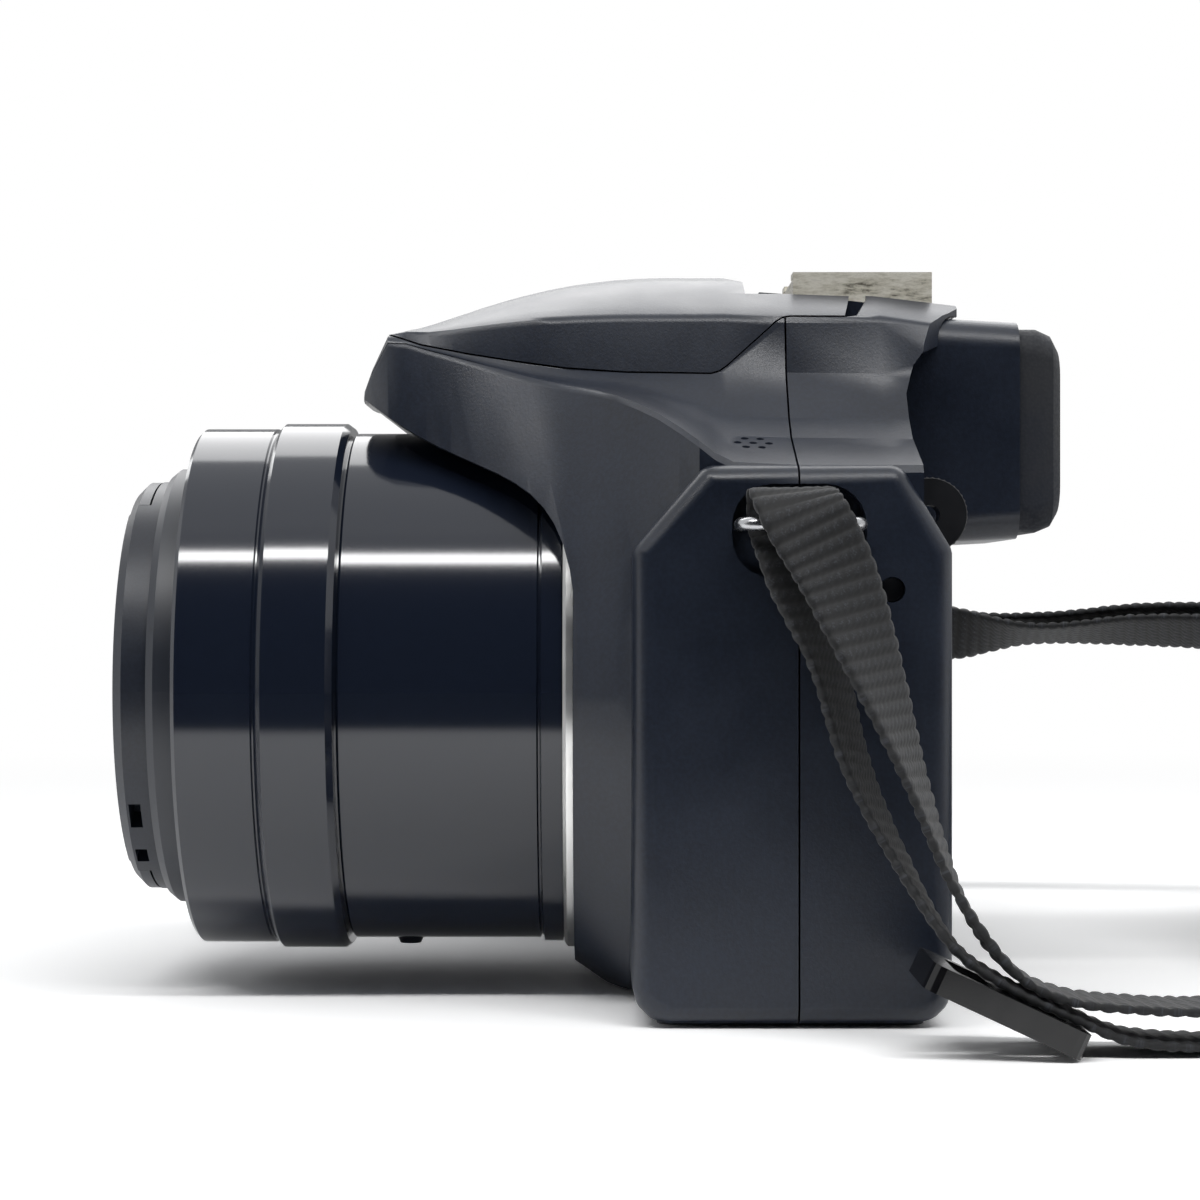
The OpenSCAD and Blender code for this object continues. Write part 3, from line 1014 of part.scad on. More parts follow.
front_cover();
rear_cover();
top_cover();
base_plate();
grip_skin();
thumb_rest();
chassis();
tripod_socket();
hot_shoe();
viewfinder_housing();
eyecup();
eyepiece_lens();
viewfinder_display();
monitor_panel();
monitor_window();
main_board();
image_sensor();
rear_lens_group();
lens_mount_ring();
fixed_barrel();
barrel_ring();
zoom_motor();
strap_lugs();
case_screws();
flash_hinge_pin();
side_sockets();
battery();
memory_card();
flash_lid();
flash_reflector();
flash_window();
flash_release();
zoom_barrel_outer();
zoom_lens_group();
zoom_barrel_inner();
front_lens();
front_ring();
drive_ring();
zoom_pinion();
lens_cap();
cap_tab_upper();
cap_tab_lower();
shutter_button();
zoom_lever();
mode_dial();
power_switch();
movie_button();
rear_dial();
finder_key();
playback_key();
cursor_ring();
set_key();
dioptre_dial();
battery_door();
battery_latch();
port_cover();
strap_near();
strap_far();
neck_band();
strap_adjusters();
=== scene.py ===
"""Looks of the bridge camera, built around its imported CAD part. Metres, in the CAD frame:
X to the user's left, Y to the rear, Z up, and the lens looks along -Y."""
import json
import math

import bpy
import numpy as np
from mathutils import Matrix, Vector


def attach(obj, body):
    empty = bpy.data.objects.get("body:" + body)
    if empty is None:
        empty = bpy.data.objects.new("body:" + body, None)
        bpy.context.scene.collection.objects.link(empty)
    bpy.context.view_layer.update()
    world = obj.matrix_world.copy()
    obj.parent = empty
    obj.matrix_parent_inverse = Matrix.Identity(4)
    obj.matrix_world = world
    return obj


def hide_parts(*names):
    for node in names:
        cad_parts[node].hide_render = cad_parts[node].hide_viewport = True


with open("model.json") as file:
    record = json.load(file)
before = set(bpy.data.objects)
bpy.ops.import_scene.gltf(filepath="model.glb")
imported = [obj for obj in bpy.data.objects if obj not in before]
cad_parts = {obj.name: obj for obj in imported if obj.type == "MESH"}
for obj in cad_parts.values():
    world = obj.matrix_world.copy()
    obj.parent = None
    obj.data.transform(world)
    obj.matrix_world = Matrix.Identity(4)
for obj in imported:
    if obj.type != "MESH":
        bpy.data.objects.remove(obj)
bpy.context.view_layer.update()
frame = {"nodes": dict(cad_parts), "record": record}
nodes = frame["nodes"]
body_of = {node: body for body, held in frame["record"]["behaviour"]["bodies"].items() for node in held}
scene = bpy.context.scene
scene.view_settings.view_transform = "Standard"
MM = 0.001


# Camera: level, square to the left side, about 0.38 m from the middle of the camera
eye = bpy.data.objects.new("photo_eye", bpy.data.cameras.new("photo_eye"))
scene.collection.objects.link(eye)
eye.location = (0.376, -0.0137, 0.0503)
eye.rotation_euler = (math.radians(90), 0, math.radians(90))
eye.data.sensor_width = 36
eye.data.lens = 84.6
eye.data.shift_x = 0.0025
eye.data.clip_start = 0.01
scene.camera = eye


# Materials
def srgb(code):
    """Linear colour of an sRGB hex value."""
    parts = [int(code[i:i + 2], 16) / 255 for i in (1, 3, 5)]
    return [p / 12.92 if p <= 0.04045 else ((p + 0.055) / 1.055) ** 2.4 for p in parts] + [1.0]


def every(mm):
    """Noise or cell scale at which one feature measures that many millimetres."""
    return 1000 / mm


def band(mm):
    """Wave scale at which one band measures that many millimetres."""
    return 1000 * math.pi / 10 / mm


def blank(name):
    """An empty node tree of a new material."""
    material = bpy.data.materials.new(name)
    material.use_nodes = True
    material.node_tree.nodes.clear()
    return material, material.node_tree


def add(tree, kind, inputs=None, out=0, stops=None, **settings):
    """Adds a node with its settings, fills or links its inputs, and returns one of its outputs."""
    made = tree.nodes.new("ShaderNode" + kind)
    for key, value in settings.items():
        setattr(made, key, value)
    if stops:
        ramp = made.color_ramp
        while len(ramp.elements) < len(stops):
            ramp.elements.new(0.5)
        for element, (place, colour) in zip(ramp.elements, stops):
            element.position = place
            element.color = srgb(colour) if isinstance(colour, str) else [colour] * 3 + [1]
    for key, value in (inputs or {}).items():
        socket = made.inputs[key]
        if isinstance(value, bpy.types.NodeSocket):
            tree.links.new(value, socket)
        else:
            socket.default_value = value
    return made.outputs[out] if len(made.outputs) else None


def spread(tree, value, low, high, least=0.0, most=1.0, **settings):
    """Stretches a value's span from low and high to least and most."""
    spans = {"Value": value, "From Min": low, "From Max": high, "To Min": least, "To Max": most}
    return add(tree, "MapRange", spans, **settings)


def surface(tree, inputs):
    """Ends a material in one principled surface."""
    shader = add(tree, "BsdfPrincipled", inputs)
    add(tree, "OutputMaterial", {"Surface": shader})


def eroded_abs(name, dark, light, rough, grain_mm, depth_mm):
    """Moulded ABS from a spark-eroded tool: a fine even sparkle of grain, slightly cloudy colour,
    and a soft sheen that breaks up where hands have polished it."""
    material, tree = blank(name)
    place = add(tree, "TexCoord", out="Object")
    grain = add(tree, "TexNoise", {"Vector": place, "Scale": every(grain_mm), "Detail": 3.0,
                                   "Roughness": 0.6})
    cloud = add(tree, "TexNoise", {"Vector": place, "Scale": every(14), "Detail": 4.0})
    fleck = add(tree, "TexNoise", {"Vector": place, "Scale": every(grain_mm * 1.7), "Detail": 1.0})
    clouded = add(tree, "ValToRGB", {"Fac": cloud}, stops=[(0.3, dark), (0.7, light)])
    flecked = add(tree, "ValToRGB", {"Fac": fleck}, stops=[(0.35, dark), (0.75, light)])
    tint = add(tree, "Mix", {"Factor": 0.5, 6: clouded, 7: flecked}, out=2, data_type="RGBA")
    sheen = spread(tree, cloud, 0.3, 0.7, rough - 0.05, rough + 0.05)
    bump = add(tree, "Bump", {"Height": grain, "Strength": 0.35, "Distance": depth_mm * MM})
    surface(tree, {"Base Color": tint, "Roughness": sheen, "Normal": bump, "IOR": 1.53})
    return material


def lacquer(name, colour, rough, scuff):
    """Black lacquer on an aluminium barrel: deep and wet-looking, with a faint orange peel and,
    where scuff is above 0, a few dull rubs."""
    material, tree = blank(name)
    place = add(tree, "TexCoord", out="Object")
    peel = add(tree, "TexNoise", {"Vector": place, "Scale": every(1.8), "Detail": 1.0})
    rub = add(tree, "TexNoise", {"Vector": place, "Scale": every(7), "Detail": 6.0, "Roughness": 0.7})
    dull = spread(tree, rub, 0.62, 0.72, rough, rough + scuff)
    bump = add(tree, "Bump", {"Height": peel, "Strength": 0.05, "Distance": 0.02 * MM})
    rubbed = "#1c1d20" if scuff else colour
    tint = add(tree, "ValToRGB", {"Fac": rub}, stops=[(0.66, colour), (0.78, rubbed)])
    surface(tree, {"Base Color": tint, "Roughness": dull, "Normal": bump, "IOR": 1.66})
    return material


def rubber(name, colour, pebble_mm, depth_mm):
    """Moulded synthetic rubber: almost no sheen, and a pebbled grain like fine leather."""
    material, tree = blank(name)
    place = add(tree, "TexCoord", out="Object")
    cells = add(tree, "TexVoronoi", {"Vector": place, "Scale": every(pebble_mm), "Randomness": 0.8},
                feature="SMOOTH_F1", out="Distance")
    dust = add(tree, "TexNoise", {"Vector": place, "Scale": every(11), "Detail": 5.0})
    tint = add(tree, "ValToRGB", {"Fac": dust}, stops=[(0.35, colour), (0.75, "#2b2c2e")])
    rough = spread(tree, cells, 0.1, 0.7, 0.62, 0.82)
    bump = add(tree, "Bump", {"Height": cells, "Strength": 0.6, "Distance": depth_mm * MM}, invert=True)
    surface(tree, {"Base Color": tint, "Roughness": rough, "Normal": bump, "IOR": 1.5})
    return material


def bright_metal(name, colour, rough, line_mm, axis):
    """Machined metal: bright, with fine turning lines across one axis and a few dull patches."""
    material, tree = blank(name)
    place = add(tree, "TexCoord", out="Object")
    lines = add(tree, "TexWave", {"Vector": place, "Scale": band(line_mm), "Distortion": 1.5,
                                  "Detail": 2.0}, bands_direction=axis)
    patch = add(tree, "TexNoise", {"Vector": place, "Scale": every(3), "Detail": 4.0})
    dull = spread(tree, patch, 0.4, 0.75, rough, rough + 0.14)
    bump = add(tree, "Bump", {"Height": lines, "Strength": 0.08, "Distance": 0.01 * MM})
    surface(tree, {"Base Color": srgb(colour), "Metallic": 1.0, "Roughness": dull, "Normal": bump})
    return material


def worn_shoe_steel_painted_reflection():
    """Pressed stainless steel of the accessory shoe, rubbed dark where feet have slid. Its pale cream
    colour with little metal is a painted reflection of the white studio, standing in for the bright steel's
    mirroring."""
    material, tree = blank("worn_shoe_steel_painted_reflection")
    place = add(tree, "TexCoord", out="Object")
    long = add(tree, "Mapping", {"Vector": place, "Scale": (1, 0.25, 1)})
    rub = add(tree, "TexNoise", {"Vector": long, "Scale": every(1.4), "Detail": 6.0, "Roughness": 0.72})
    speck = add(tree, "TexNoise", {"Vector": place, "Scale": every(0.5), "Detail": 3.0})
    # Painted reflection: the pale cream stops stand in for the white studio mirrored in the steel; the dark
    # stop is rubbed wear.
    tint = add(tree, "ValToRGB", {"Fac": rub},
               stops=[(0.33, "#6b675b"), (0.42, "#d2cdbd"), (0.54, "#f3efe2")])
    dull = spread(tree, rub, 0.35, 0.6, 0.55, 0.24)
    bump = add(tree, "Bump", {"Height": speck, "Strength": 0.3, "Distance": 0.02 * MM})
    surface(tree, {"Base Color": tint, "Metallic": 0.1, "Roughness": dull, "Normal": bump})
    return material


def moulded_part(name, colour, rough):
    """Small moulded ABS or acetal part: plain and slightly satin, with a faint flow in its colour."""
    material, tree = blank(name)
    place = add(tree, "TexCoord", out="Object")
    flow = add(tree, "TexNoise", {"Vector": place, "Scale": every(2.4), "Detail": 3.0})
    shade = add(tree, "HueSaturation", {"Color": srgb(colour),
                                        "Value": spread(tree, flow, 0.3, 0.7, 0.88, 1.12)})
    fine = add(tree, "TexNoise", {"Vector": place, "Scale": every(0.22), "Detail": 2.0})
    bump = add(tree, "Bump", {"Height": fine, "Strength": 0.18, "Distance": 0.02 * MM})
    dull = spread(tree, flow, 0.0, 1.0, rough - 0.06, rough + 0.06)
    surface(tree, {"Base Color": shade, "Roughness": dull, "Normal": bump, "IOR": 1.5})
    return material


def coated_glass(name, tint, coat):
    """Coated optical glass: clear body, with a thin coloured sheen from its anti-reflection coat."""
    material, tree = blank(name)
    place = add(tree, "TexCoord", out="Object")
    wipe = add(tree, "TexNoise", {"Vector": place, "Scale": every(6), "Detail": 4.0})
    haze = spread(tree, wipe, 0.4, 0.8, 0.01, 0.06)
    surface(tree, {"Base Color": srgb(tint), "Roughness": haze, "IOR": 1.6, "Transmission Weight": 0.9,
                   "Coat Weight": 0.6, "Coat Roughness": 0.02, "Coat Tint": srgb(coat)})
    return material


def dark_window():
    """Hardened cover glass of the monitor: black and mirror-smooth, with finger smears."""
    material, tree = blank("hardened_window_glass")
    place = add(tree, "TexCoord", out="Object")
    smear = add(tree, "TexNoise", {"Vector": place, "Scale": every(9), "Detail": 5.0, "Distortion": 0.6})
    haze = spread(tree, smear, 0.45, 0.75, 0.03, 0.16)
    surface(tree, {"Base Color": srgb("#07080a"), "Roughness": haze, "IOR": 1.52})
    return material


def display_cell():
    """Switched-off liquid crystal cell: near black, with a faint pixel grid that is drawn coarse."""
    material, tree = blank("liquid_crystal_cell")
    place = add(tree, "TexCoord", out="Object")
    grid = add(tree, "TexBrick", {
        "Vector": place, "Scale": every(0.6), "Color1": srgb("#10141b"), "Color2": srgb("#12171f"),
        "Mortar": srgb("#07090c"), "Mortar Size": 0.06})
    surface(tree, {"Base Color": grid, "Roughness": 0.2, "IOR": 1.5})
    return material


def circuit_laminate():
    """Glass-fibre circuit board under green solder mask, with paler copper tracks."""
    material, tree = blank("circuit_laminate")
    place = add(tree, "TexCoord", out="Object")
    tracks = add(tree, "TexBrick", {
        "Vector": place, "Scale": every(3), "Color1": srgb("#1d5a3c"), "Color2": srgb("#17492f"),
        "Mortar": srgb("#3f8a5f"), "Mortar Size": 0.05})
    weave = add(tree, "TexChecker", {"Vector": place, "Scale": every(0.5)}, out="Fac")
    bump = add(tree, "Bump", {"Height": weave, "Strength": 0.1, "Distance": 0.02 * MM})
    surface(tree, {"Base Color": tracks, "Roughness": 0.35, "Normal": bump})
    return material


def sensor_silicon():
    """Silicon image sensor under its cover glass: dark violet-blue with a rainbow cast."""
    material, tree = blank("sensor_silicon")
    place = add(tree, "TexCoord", out="Object")
    cast = add(tree, "TexWave", {"Vector": place, "Scale": band(6), "Distortion": 2.0},
               bands_direction="DIAGONAL")
    tint = add(tree, "ValToRGB", {"Fac": cast},
               stops=[(0.0, "#2a2346"), (0.5, "#1d3b52"), (1.0, "#3a4a33")])
    surface(tree, {"Base Color": tint, "Roughness": 0.15, "Metallic": 0.4})
    return material


def flash_prism():
    """Clear acrylic of the flash window, moulded with fine upright prisms that glitter."""
    material, tree = blank("flash_prism_acrylic")
    place = add(tree, "TexCoord", out="Object")
    ribs = add(tree, "TexWave", {"Vector": place, "Scale": band(0.8)}, bands_direction="X",
               wave_profile="TRI")
    bump = add(tree, "Bump", {"Height": ribs, "Strength": 0.8, "Distance": 0.2 * MM})
    surface(tree, {"Base Color": srgb("#e7e8e2"), "Roughness": 0.08, "IOR": 1.49,
                   "Transmission Weight": 0.75, "Normal": bump})
    return material


def nylon_webbing():
    """Woven nylon webbing: matt black yarn, with a painted highlight of lighter grey on the crown of each
    rib. The piece's UV map runs in metres along and across the webbing."""
    material, tree = blank("nylon_webbing")
    place = add(tree, "UVMap", uv_map="weave")
    yarn = add(tree, "TexWave", {"Vector": place, "Scale": band(0.5), "Distortion": 0.8, "Detail": 2.0,
                                 "Detail Scale": 3.0}, bands_direction="DIAGONAL")
    fibre = add(tree, "TexNoise", {"Vector": place, "Scale": every(0.25), "Detail": 3.0})
    crown = add(tree, "Attribute", out="Fac", attribute_name="crown")
    # Painted highlight: the rib crowns, flecked by the fibre noise, turn lighter grey as if catching the
    # light.
    crown_highlight = add(tree, "Math", {0: crown, 1: fibre}, operation="MULTIPLY")
    tint = add(tree, "ValToRGB", {"Fac": crown_highlight},
               stops=[(0.12, "#050608"), (0.4, "#101216"), (0.75, "#3c3f47")])
    bump = add(tree, "Bump", {"Height": yarn, "Strength": 0.35, "Distance": 0.08 * MM})
    surface(tree, {"Base Color": tint, "Roughness": 0.72, "Normal": bump, "IOR": 1.53, "Sheen Weight": 0.12,
                   "Sheen Roughness": 0.5})
    return material


def band_cloth():
    """Jacquard neck band: dense black twill with two rows of edge stitching in grey thread."""
    material, tree = blank("twill_neck_band")
    place = add(tree, "UVMap", uv_map="weave")
    twill = add(tree, "TexWave", {"Vector": place, "Scale": band(0.9), "Distortion": 0.4},
                bands_direction="DIAGONAL")
    fibre = add(tree, "TexNoise", {"Vector": place, "Scale": every(0.4), "Detail": 3.0})
    seam = add(tree, "Attribute", out="Fac", attribute_name="stitch")
    cloth = add(tree, "ValToRGB", {"Fac": add(tree, "Math", {0: twill, 1: fibre}, operation="MULTIPLY")},
                stops=[(0.1, "#111113"), (0.6, "#26272b")])
    tint = add(tree, "Mix", {"Factor": seam, 6: cloth, 7: srgb("#6a6b6e")}, out=2, data_type="RGBA")
    bump = add(tree, "Bump", {"Height": twill, "Strength": 0.4, "Distance": 0.12 * MM})
    surface(tree, {"Base Color": tint, "Roughness": 0.8, "Normal": bump, "Sheen Weight": 0.2})
    return material


finish = {
    "case_plastic": eroded_abs("spark_eroded_abs", "#161b26", "#212938", 0.36, 0.3, 0.05),
    "lid_plastic": eroded_abs("spark_eroded_lid_abs", "#161b26", "#212938", 0.36, 0.3, 0.05),
    "grip_rubber": rubber("pebbled_grip_rubber", "#18191b", 1.1, 0.14),
    "eyecup_rubber": rubber("eyecup_rubber", "#161b26", 0.4, 0.03),
    "barrel_gloss": lacquer("black_barrel_lacquer", "#181e2b", 0.12, 0.0),
    "barrel_satin": lacquer("satin_barrel_lacquer", "#181e2a", 0.45, 0.1),
    "cap_plastic": eroded_abs("satin_cap_abs", "#181c26", "#222834", 0.4, 0.25, 0.03),
    "chrome_trim": bright_metal("chrome_plate", "#f0f0ee", 0.3, 0.2, "Y"),
    "shoe_steel": worn_shoe_steel_painted_reflection(),
    "steel": bright_metal("drawn_steel", "#b9babc", 0.2, 0.15, "X"),
    "screw_steel": bright_metal("blackened_screw_steel", "#4a4b4e", 0.3, 0.15, "Z"),
    "frame_plastic": moulded_part("glass_filled_frame", "#3a3c40", 0.5),
    "control_plastic": moulded_part("control_abs", "#1b1c1f", 0.36),
    "shutter_metal": bright_metal("anodised_shutter_cap", "#5c5e62", 0.28, 0.2, "X"),
    "optical_glass": coated_glass("coated_optical_glass", "#eef2f0", "#8fb7a6"),
    "display_glass": dark_window(),
    "display_cell": display_cell(),
    "circuit_board": circuit_laminate(),
    "sensor_cell": sensor_silicon(),
    "gear_acetal": moulded_part("natural_acetal", "#d7d3c6", 0.35),
    "pinion_brass": bright_metal("cut_brass", "#c9a85a", 0.25, 0.2, "Y"),
    "flash_diffuser": flash_prism(),
    "flash_mirror": bright_metal("vapour_coated_reflector", "#dcdddd", 0.06, 0.4, "X"),
    "battery_case": moulded_part("battery_case", "#2c2e33", 0.45),
    "card_case": moulded_part("card_case", "#23283a", 0.4),
    "adjuster_nylon": moulded_part("moulded_nylon_buckle", "#0b0b0d", 0.2),
    "webbing": nylon_webbing(),
    "band_fabric": band_cloth(),
}
slot_of = {part["node"]: part["material_slot"] for part in frame["record"]["subparts"]}


def dress(obj, slot):
    """Gives a piece the finish of one of the record's slots."""
    obj.data.materials.clear()
    obj.data.materials.append(finish[slot])


# Neck strap: webbing on both lugs, each with its loose tail, and the band that is rolled up behind
X, Y, Z = Vector((1, 0, 0)), Vector((0, 1, 0)), Vector((0, 0, 1))
NEAR = [
    ((61, 63, 1), -X), ((61.5, 54, 1), -X), ((62, 45, 1.8), -X), ((62, 38.6, 4.4), -X), ((62, 31, 8), -X),
    ((61, 25.8, 12), 0.05 * Y - X), ((57.4, 21, 20), 0.2 * Y - X), ((54, 16, 31), Y - 2.6 * X),
    ((51.4, 13, 43), Y - 1.7 * X), ((49.2, 10.2, 54), Y - 0.3 * X), ((46.4, 9, 59), Y),
    ((48.6, 8.8, 62.8), Y),
    ((52.4, 10, 60.4), Y), ((54.2, 13.8, 53), Y - 0.36 * X), ((56.2, 18, 42), Y - 1.1 * X),
    ((58, 22, 30.5), Y - 2.8 * X), ((60, 25.8, 19.5), 0.15 * Y - X), ((61.6, 29.2, 13), -X),
    ((62, 33.4, 8.4), -X),
    ((62.3, 38.5, 6.2), -X), ((62.4, 45, 5.4), -X), ((61.6, 54, 5), -X), ((58.4, 66, 5.4), -X),
    ((50, 77, 9), -X - Z), ((36, 83.5, 15), -Z), ((18, 84, 19), -Z), ((-2, 82.2, 20), -Z),
    ((-19, 82, 20), -Z)]
FAR = [
    ((-64, 122, 42.4), Y), ((-70, 112, 43.4), X + Y), ((-75, 101, 44), X), ((-80, 88, 45), X + 0.5 * Z),
    ((-83.4, 74, 45.4), X + 0.5 * Z), ((-85.4, 58, 44.8), X + 0.3 * Z), ((-86.6, 42, 45), Y + Z + 0.6 * X),
    ((-86.6, 27, 47.6), Y), ((-85.6, 14.4, 51), Y), ((-85.4, 9.4, 53.8), Y + 0.3 * Z),
    ((-88.4, 8.2, 55.4), Y),
    ((-90.8, 10.6, 53), Y), ((-90, 21, 50.4), Y), ((-89.4, 33, 48.6), Y + Z),
    ((-88.6, 46, 46.9), X + 0.3 * Z),
    ((-87.4, 60, 46.6), X + 0.3 * Z), ((-85, 75, 47.2), X + 0.5 * Z), ((-81, 89, 47), X + 0.5 * Z),
    ((-75.5, 102, 46.4), X), ((-68, 114, 46), X + Y), ((-58, 124, 45.4), Y), ((-50, 130, 41), Y + Z),
    ((-44.6, 128, 34), Z), ((-45, 116, 27), Z), ((-41, 105, 22), Z), ((-32, 99.6, 20), Z),
    ((-22, 98.6, 20), Z)]
WEB_W, WEB_T = 10 * MM, 1.3 * MM
RIB, RIB_HIGH = 1.8 * MM, 0.3 * MM
BUNDLE = 1.25 * MM
SELVEDGE = 0.9 * MM


def curve_through(rows, t):
    """Point at t rows along the smooth curve through the rows."""
    last = len(rows) - 1
    i = min(int(t), last - 1)
    u = t - i
    a, b, c, d = (rows[max(0, min(last, k))] for k in (i - 1, i, i + 1, i + 2))
    square, cube = 2 * a - 5 * b + 4 * c - d, 3 * b - a - 3 * c + d
    return b + (c - a) * (u / 2) + square * (u * u / 2) + cube * (u ** 3 / 2)


def walk(route, first, last, step):
    """Evenly spaced points and side directions along part of a route."""
    spots = np.array([p for p, _ in route], float) * MM
    sides = np.array([list(s.normalized()) for _, s in route])
    t = np.linspace(first, last, 60 * abs(last - first) + 1)
    line = np.array([curve_through(spots, x) for x in t])
    turn = np.array([curve_through(sides, x) for x in t])
    run = np.concatenate([[0], np.cumsum(np.linalg.norm(np.diff(line, axis=0), axis=1))])
    at = np.linspace(0, run[-1], int(run[-1] / step) + 1)
    even = np.stack([np.interp(at, run, line[:, k]) for k in range(3)], 1)
    facing = np.stack([np.interp(at, run, turn[:, k]) for k in range(3)], 1)
    return even, facing, at


def swept_band(name, line, side, along, outline, attribute, values):
    """Closed band of one outline, given as rows of (across, height) per station, along a line."""
    ahead = np.gradient(line, axis=0)
    ahead /= np.linalg.norm(ahead, axis=1)[:, None]
    across = side - ahead * np.sum(ahead * side, axis=1)[:, None]
    across /= np.linalg.norm(across, axis=1)[:, None]
    up = np.cross(ahead, across)
    n, m = outline.shape[:2]
    points = line[:, None] + across[:, None] * outline[..., :1] + up[:, None] * outline[..., 1:]
    faces = [(i * m + j, i * m + (j + 1) % m, i * m + m + (j + 1) % m, i * m + m + j)
             for i in range(n - 1) for j in range(m)]
    faces += [tuple(range(m - 1, -1, -1)), tuple((n - 1) * m + j for j in range(m))]
    mesh = bpy.data.meshes.new(name)
    mesh.from_pydata(points.reshape(-1, 3).tolist(), [], faces)
    mesh.validate()
    weave = mesh.uv_layers.new(name="weave")
    corner = np.zeros(len(mesh.loops), int)
    mesh.loops.foreach_get("vertex_index", corner)
    flat = np.stack([np.repeat(along, m), outline[..., 0].ravel()], 1)[corner]
    weave.uv.foreach_set("vector", flat.astype(np.float32).ravel())
    mark = mesh.attributes.new(attribute, "FLOAT", "POINT")
    mark.data.foreach_set("value", values.astype(np.float32).ravel())
    obj = bpy.data.objects.new(name, mesh)
    scene.collection.objects.link(obj)
    for face in mesh.polygons:
        face.use_smooth = len(face.vertices) == 4
    return obj


def webbing(name, route, first, last):
    """Ribbed webbing along part of a route: each weft rib is a row of small rounded bundles."""
    line, side, along = walk(route, first, last, RIB / 5)
    columns = 21
    across = np.linspace(-0.5, 0.5, columns) * WEB_W
    edge = np.clip((WEB_W / 2 - np.abs(across)) / SELVEDGE, 0, 1)
    rib = np.abs(np.sin(math.pi * along / RIB))[:, None] ** 0.6
    bundle = np.abs(np.sin(math.pi * (across[None] / BUNDLE + 0.35 * along[:, None] / RIB)))
    crown = rib * (0.55 + 0.45 * bundle)
    half = (WEB_T / 2 - RIB_HIGH) * (0.45 + 0.55 * np.sqrt(edge))[None] + RIB_HIGH * crown
    wide = across[None] * (1 + 0.025 * (rib - 0.5))
    top = np.stack([wide, half], 2)
    under = np.stack([wide, -half], 2)[:, ::-1]
    outline = np.concatenate([top, under], 1)[:, ::-1]
    values = np.concatenate([crown, crown[:, ::-1]], 1)[:, ::-1]
    obj = swept_band(name, line, side, along, outline, "crown", values)
    dress(obj, "webbing")
    return obj, line, along[-1]


# Each stretch runs from the row of its route that lies over the lug to the route's end
cords = [("near_webbing", NEAR, 11, 27, "strap_near", "object"),
         ("near_webbing_tail", NEAR, 11, 0, "strap_near", "bare"),
         ("far_webbing", FAR, 10, 26, "strap_far", "object"),
         ("far_webbing_tail", FAR, 10, 0, "strap_far", "bare")]
for name, route, first, last, node, end in cords:
    strap, line, length = webbing(name, route, first, last)
    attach(strap, "camera_body")
    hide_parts(node)

# The band is wound on edge, from its outer end inwards
ROLL_POINTS, ROLL_TURNS, ROLL_START = 721, 3, -75
ROLL_X, ROLL_Y, ROLL_Z = -30 * MM, 122 * MM, 20 * MM
ROLL_OUTER, ROLL_INNER = 39.6, 25
STITCH_AT, STITCH_HALF, STITCH_PITCH = 17.6, 0.4, 3 * MM
turns = np.linspace(0, 1, ROLL_POINTS)
angle = np.radians(ROLL_START - 360 * ROLL_TURNS * turns)
radius = (ROLL_OUTER + (ROLL_INNER - ROLL_OUTER) * turns) * MM
roll = np.stack([ROLL_X + radius * np.cos(angle), ROLL_Y + radius * np.sin(angle),
                 np.full(ROLL_POINTS, ROLL_Z)], 1)
run = np.concatenate([[0], np.cumsum(np.linalg.norm(np.diff(roll, axis=0), axis=1))])
across = np.concatenate([np.linspace(-20, -18.6, 4), np.linspace(-18, 18, 25),
                         np.linspace(18.6, 20, 4)]) * MM
thick = np.interp(np.abs(across) / MM, [0, 17, 17.6, 18.2, 19.2, 20], [0.9, 0.9, 0.7, 1.0, 1.0, 0.55]) * MM
outline = np.concatenate([np.stack([across, thick], 1), np.stack([across, -thick], 1)[::-1]])[::-1]
row = np.abs(np.abs(outline[:, 0]) / MM - STITCH_AT) < STITCH_HALF
thread = np.sin(run / STITCH_PITCH * 2 * math.pi) > -0.2
stitch = row[None] * thread[:, None]
neck = swept_band("neck_band_roll", roll, np.tile([0.0, 0.0, 1.0], (ROLL_POINTS, 1)), run,
                  np.tile(outline, (ROLL_POINTS, 1, 1)), "stitch", stitch.astype(float))
dress(neck, "band_fabric")
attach(neck, "camera_body")
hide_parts("neck_band")


# Shapes
MERGE = 0.002 * MM
SMOOTH_BELOW = math.radians(34)
SOFTENED = ("front_cover", "rear_cover", "flash_lid", "top_cover", "grip_skin", "viewfinder_housing",
            "eyecup")


def only(obj):
    """Leaves one object selected and active."""
    if bpy.context.object and bpy.context.object.mode != "OBJECT":
        bpy.ops.object.mode_set(mode="OBJECT")
    bpy.ops.object.select_all(action="DESELECT")
    obj.select_set(True)
    bpy.context.view_layer.objects.active = obj


def soften(node):
    """A smooth-shaded copy of a faceted CAD node, with its loose triangles merged; its large faces
    lead the shading, so that they stay flat up to their rounded edges."""
    piece = nodes[node].copy()
    piece.data = nodes[node].data.copy()
    piece.name = node + "_smooth"
    piece.parent = None
    piece.matrix_world = nodes[node].matrix_world.copy()
    scene.collection.objects.link(piece)
    only(piece)
    bpy.ops.mesh.customdata_custom_splitnormals_clear()
    bpy.ops.object.mode_set(mode="EDIT")
    bpy.ops.mesh.select_all(action="SELECT")
    bpy.ops.mesh.remove_doubles(threshold=MERGE)
    bpy.ops.object.mode_set(mode="OBJECT")
    bpy.ops.object.shade_smooth_by_angle(angle=SMOOTH_BELOW)
    weigh = piece.modifiers.new("weighted", "WEIGHTED_NORMAL")
    weigh.keep_sharp = True
    weigh.weight = 100
    bpy.ops.object.modifier_apply(modifier="weighted")
    dress(piece, slot_of[node])
    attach(piece, body_of[node])
    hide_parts(node)


for node in SOFTENED:
    soften(node)
for node, obj in nodes.items():
    dress(obj, slot_of[node])


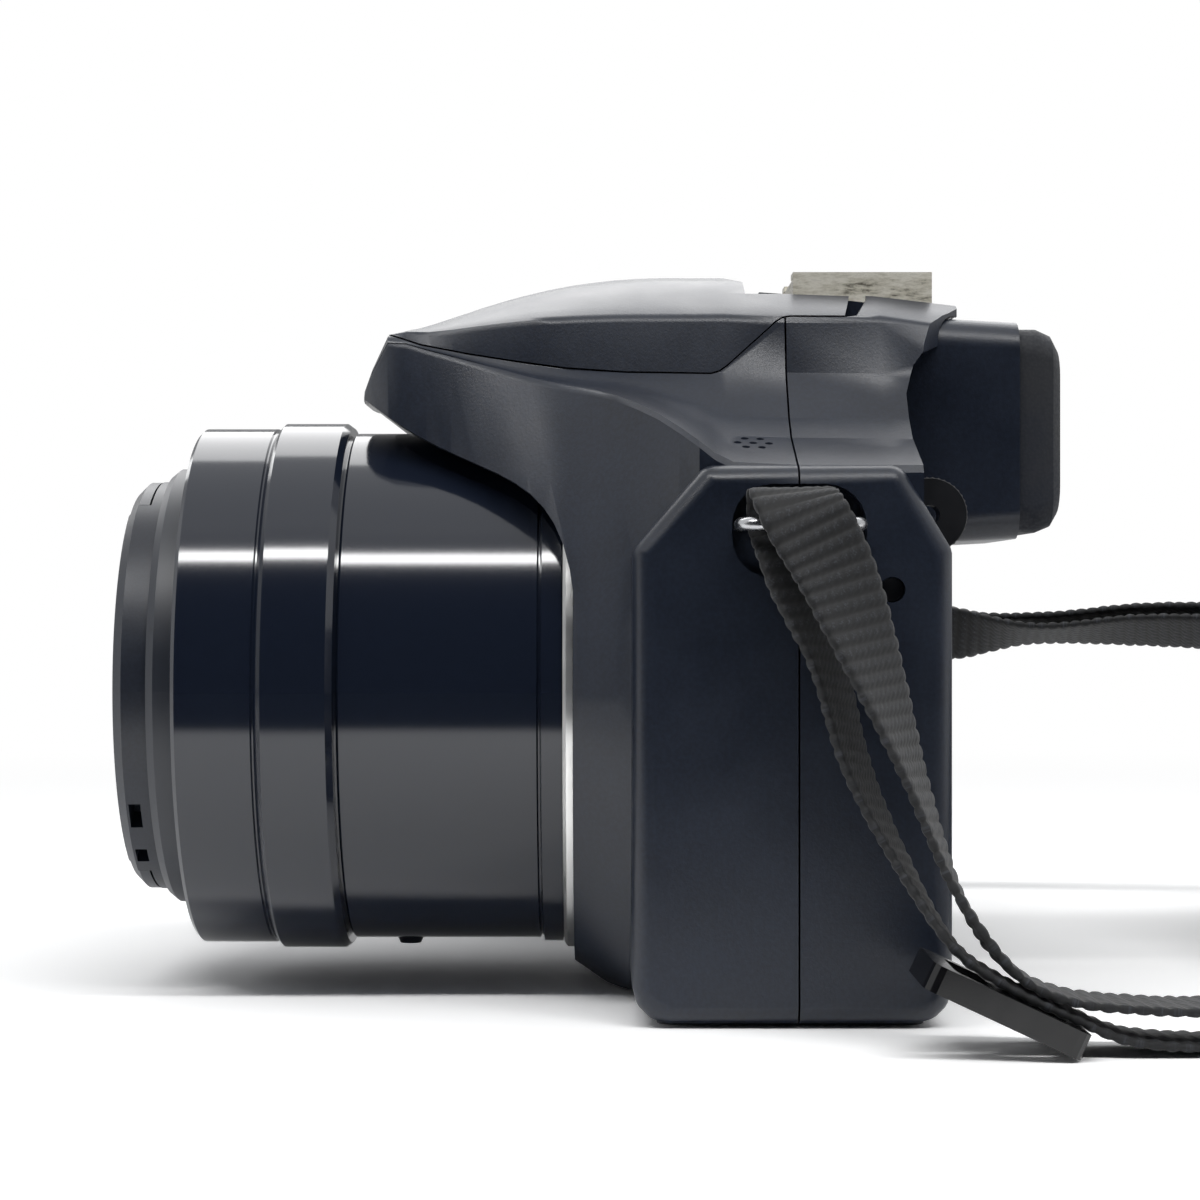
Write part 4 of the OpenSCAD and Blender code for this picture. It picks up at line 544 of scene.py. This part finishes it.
# Stage: pale floor that turns to plain white away from the camera, a white studio behind and above it, and
# a dark room on the photographer's side, which black gloss needs in order to look black
def paper_floor():
    """White paper: it takes the shadow near the camera, is plain white further out, and ends at the
    table's edge for every ray but the photograph's own."""
    material, tree = blank("white_paper")
    place = add(tree, "TexCoord", out="Object")
    away = add(tree, "VectorMath", {0: place}, out="Value", operation="LENGTH")
    far = spread(tree, away, 0.22, 0.6, interpolation_type="SMOOTHSTEP")
    edge = spread(tree, add(tree, "SeparateXYZ", {0: place}, out="X"), 0.128, 0.15)
    by_camera = add(tree, "LightPath", out="Is Camera Ray")
    by_gloss = add(tree, "LightPath", out="Is Glossy Ray")
    by_glass = add(tree, "LightPath", out="Is Transmission Ray")
    seen = add(tree, "Math", {0: by_camera, 1: by_gloss}, operation="MAXIMUM")
    seen = add(tree, "Math", {0: seen, 1: by_glass}, operation="MAXIMUM")
    white = add(tree, "Emission", {"Color": (1, 1, 1, 1), "Strength": 1.0})
    plain = add(tree, "BsdfDiffuse", {"Color": (0.93, 0.93, 0.93, 1)})
    bright = add(tree, "BsdfDiffuse", {"Color": (1.25, 1.25, 1.25, 1)})
    paper = add(tree, "MixShader", {0: seen, 1: plain, 2: bright})
    faded = add(tree, "Math", {0: far, 1: seen}, operation="MULTIPLY")
    mix = add(tree, "MixShader", {0: faded, 1: paper, 2: white})
    past = add(tree, "Math", {0: edge, 1: by_camera}, operation="SUBTRACT", use_clamp=True)
    dark = add(tree, "BsdfDiffuse", {"Color": (0.02, 0.022, 0.026, 1)})
    add(tree, "OutputMaterial", {"Surface": add(tree, "MixShader", {0: past, 1: mix, 2: dark})})
    return material


bpy.ops.object.select_all(action="DESELECT")
bpy.ops.mesh.primitive_plane_add(size=12, location=(0, 0, -0.00005))
floor = bpy.context.object
floor.name = "paper_floor"
floor.data.materials.append(paper_floor())

world = bpy.data.worlds.new("studio")
scene.world = world
world.use_nodes = True
tree = world.node_tree
tree.nodes.clear()
seen = add(tree, "Math", {0: add(tree, "LightPath", out="Is Camera Ray"),
                          1: add(tree, "LightPath", out="Is Transmission Ray")}, operation="MAXIMUM")
way = add(tree, "SeparateXYZ", {0: add(tree, "TexCoord", out="Generated")}, out="X")
far = spread(tree, way, -0.4, -0.8, interpolation_type="SMOOTHSTEP")
front = spread(tree, way, 0.25, 0.6, interpolation_type="SMOOTHSTEP")
above = add(tree, "Background", {"Color": srgb("#fdfeff"), "Strength": 0.85})
low = add(tree, "Background", {"Color": srgb("#fdfeff"), "Strength": 0.35})
room = add(tree, "Background", {"Color": srgb("#17191e"), "Strength": 1.0})
white = add(tree, "Background", {"Color": (1, 1, 1, 1), "Strength": 1.0})
light = add(tree, "MixShader", {0: front, 1: add(tree, "MixShader", {0: far, 1: above, 2: low}), 2: room})
add(tree, "OutputWorld", {"Surface": add(tree, "MixShader", {0: seen, 1: light, 2: white})})


def lamp(name, at, aim, width, length, power):
    """Soft rectangular lamp, turned towards a point."""
    data = bpy.data.lights.new(name, "AREA")
    data.shape = "RECTANGLE"
    data.size, data.size_y, data.energy = width, length, power
    obj = bpy.data.objects.new(name, data)
    obj.location = at
    obj.rotation_euler = (Vector(at) - Vector(aim)).to_track_quat("Z", "Y").to_euler()
    scene.collection.objects.link(obj)
    return obj


# A long strip above the photographer gives the light and the bright line along gloss; a panel behind only
# draws the sheen on faces that look up
lamp("side_strip", (0.385, 0, 0.66), (0.02, 0, 0.05), 1.0, 0.06, 4.2)
rear_panel = lamp("rear_panel", (-0.59, 0, 0.585), (0, 0, 0.05), 1.3, 0.58, 7)
rear_panel.visible_diffuse = False
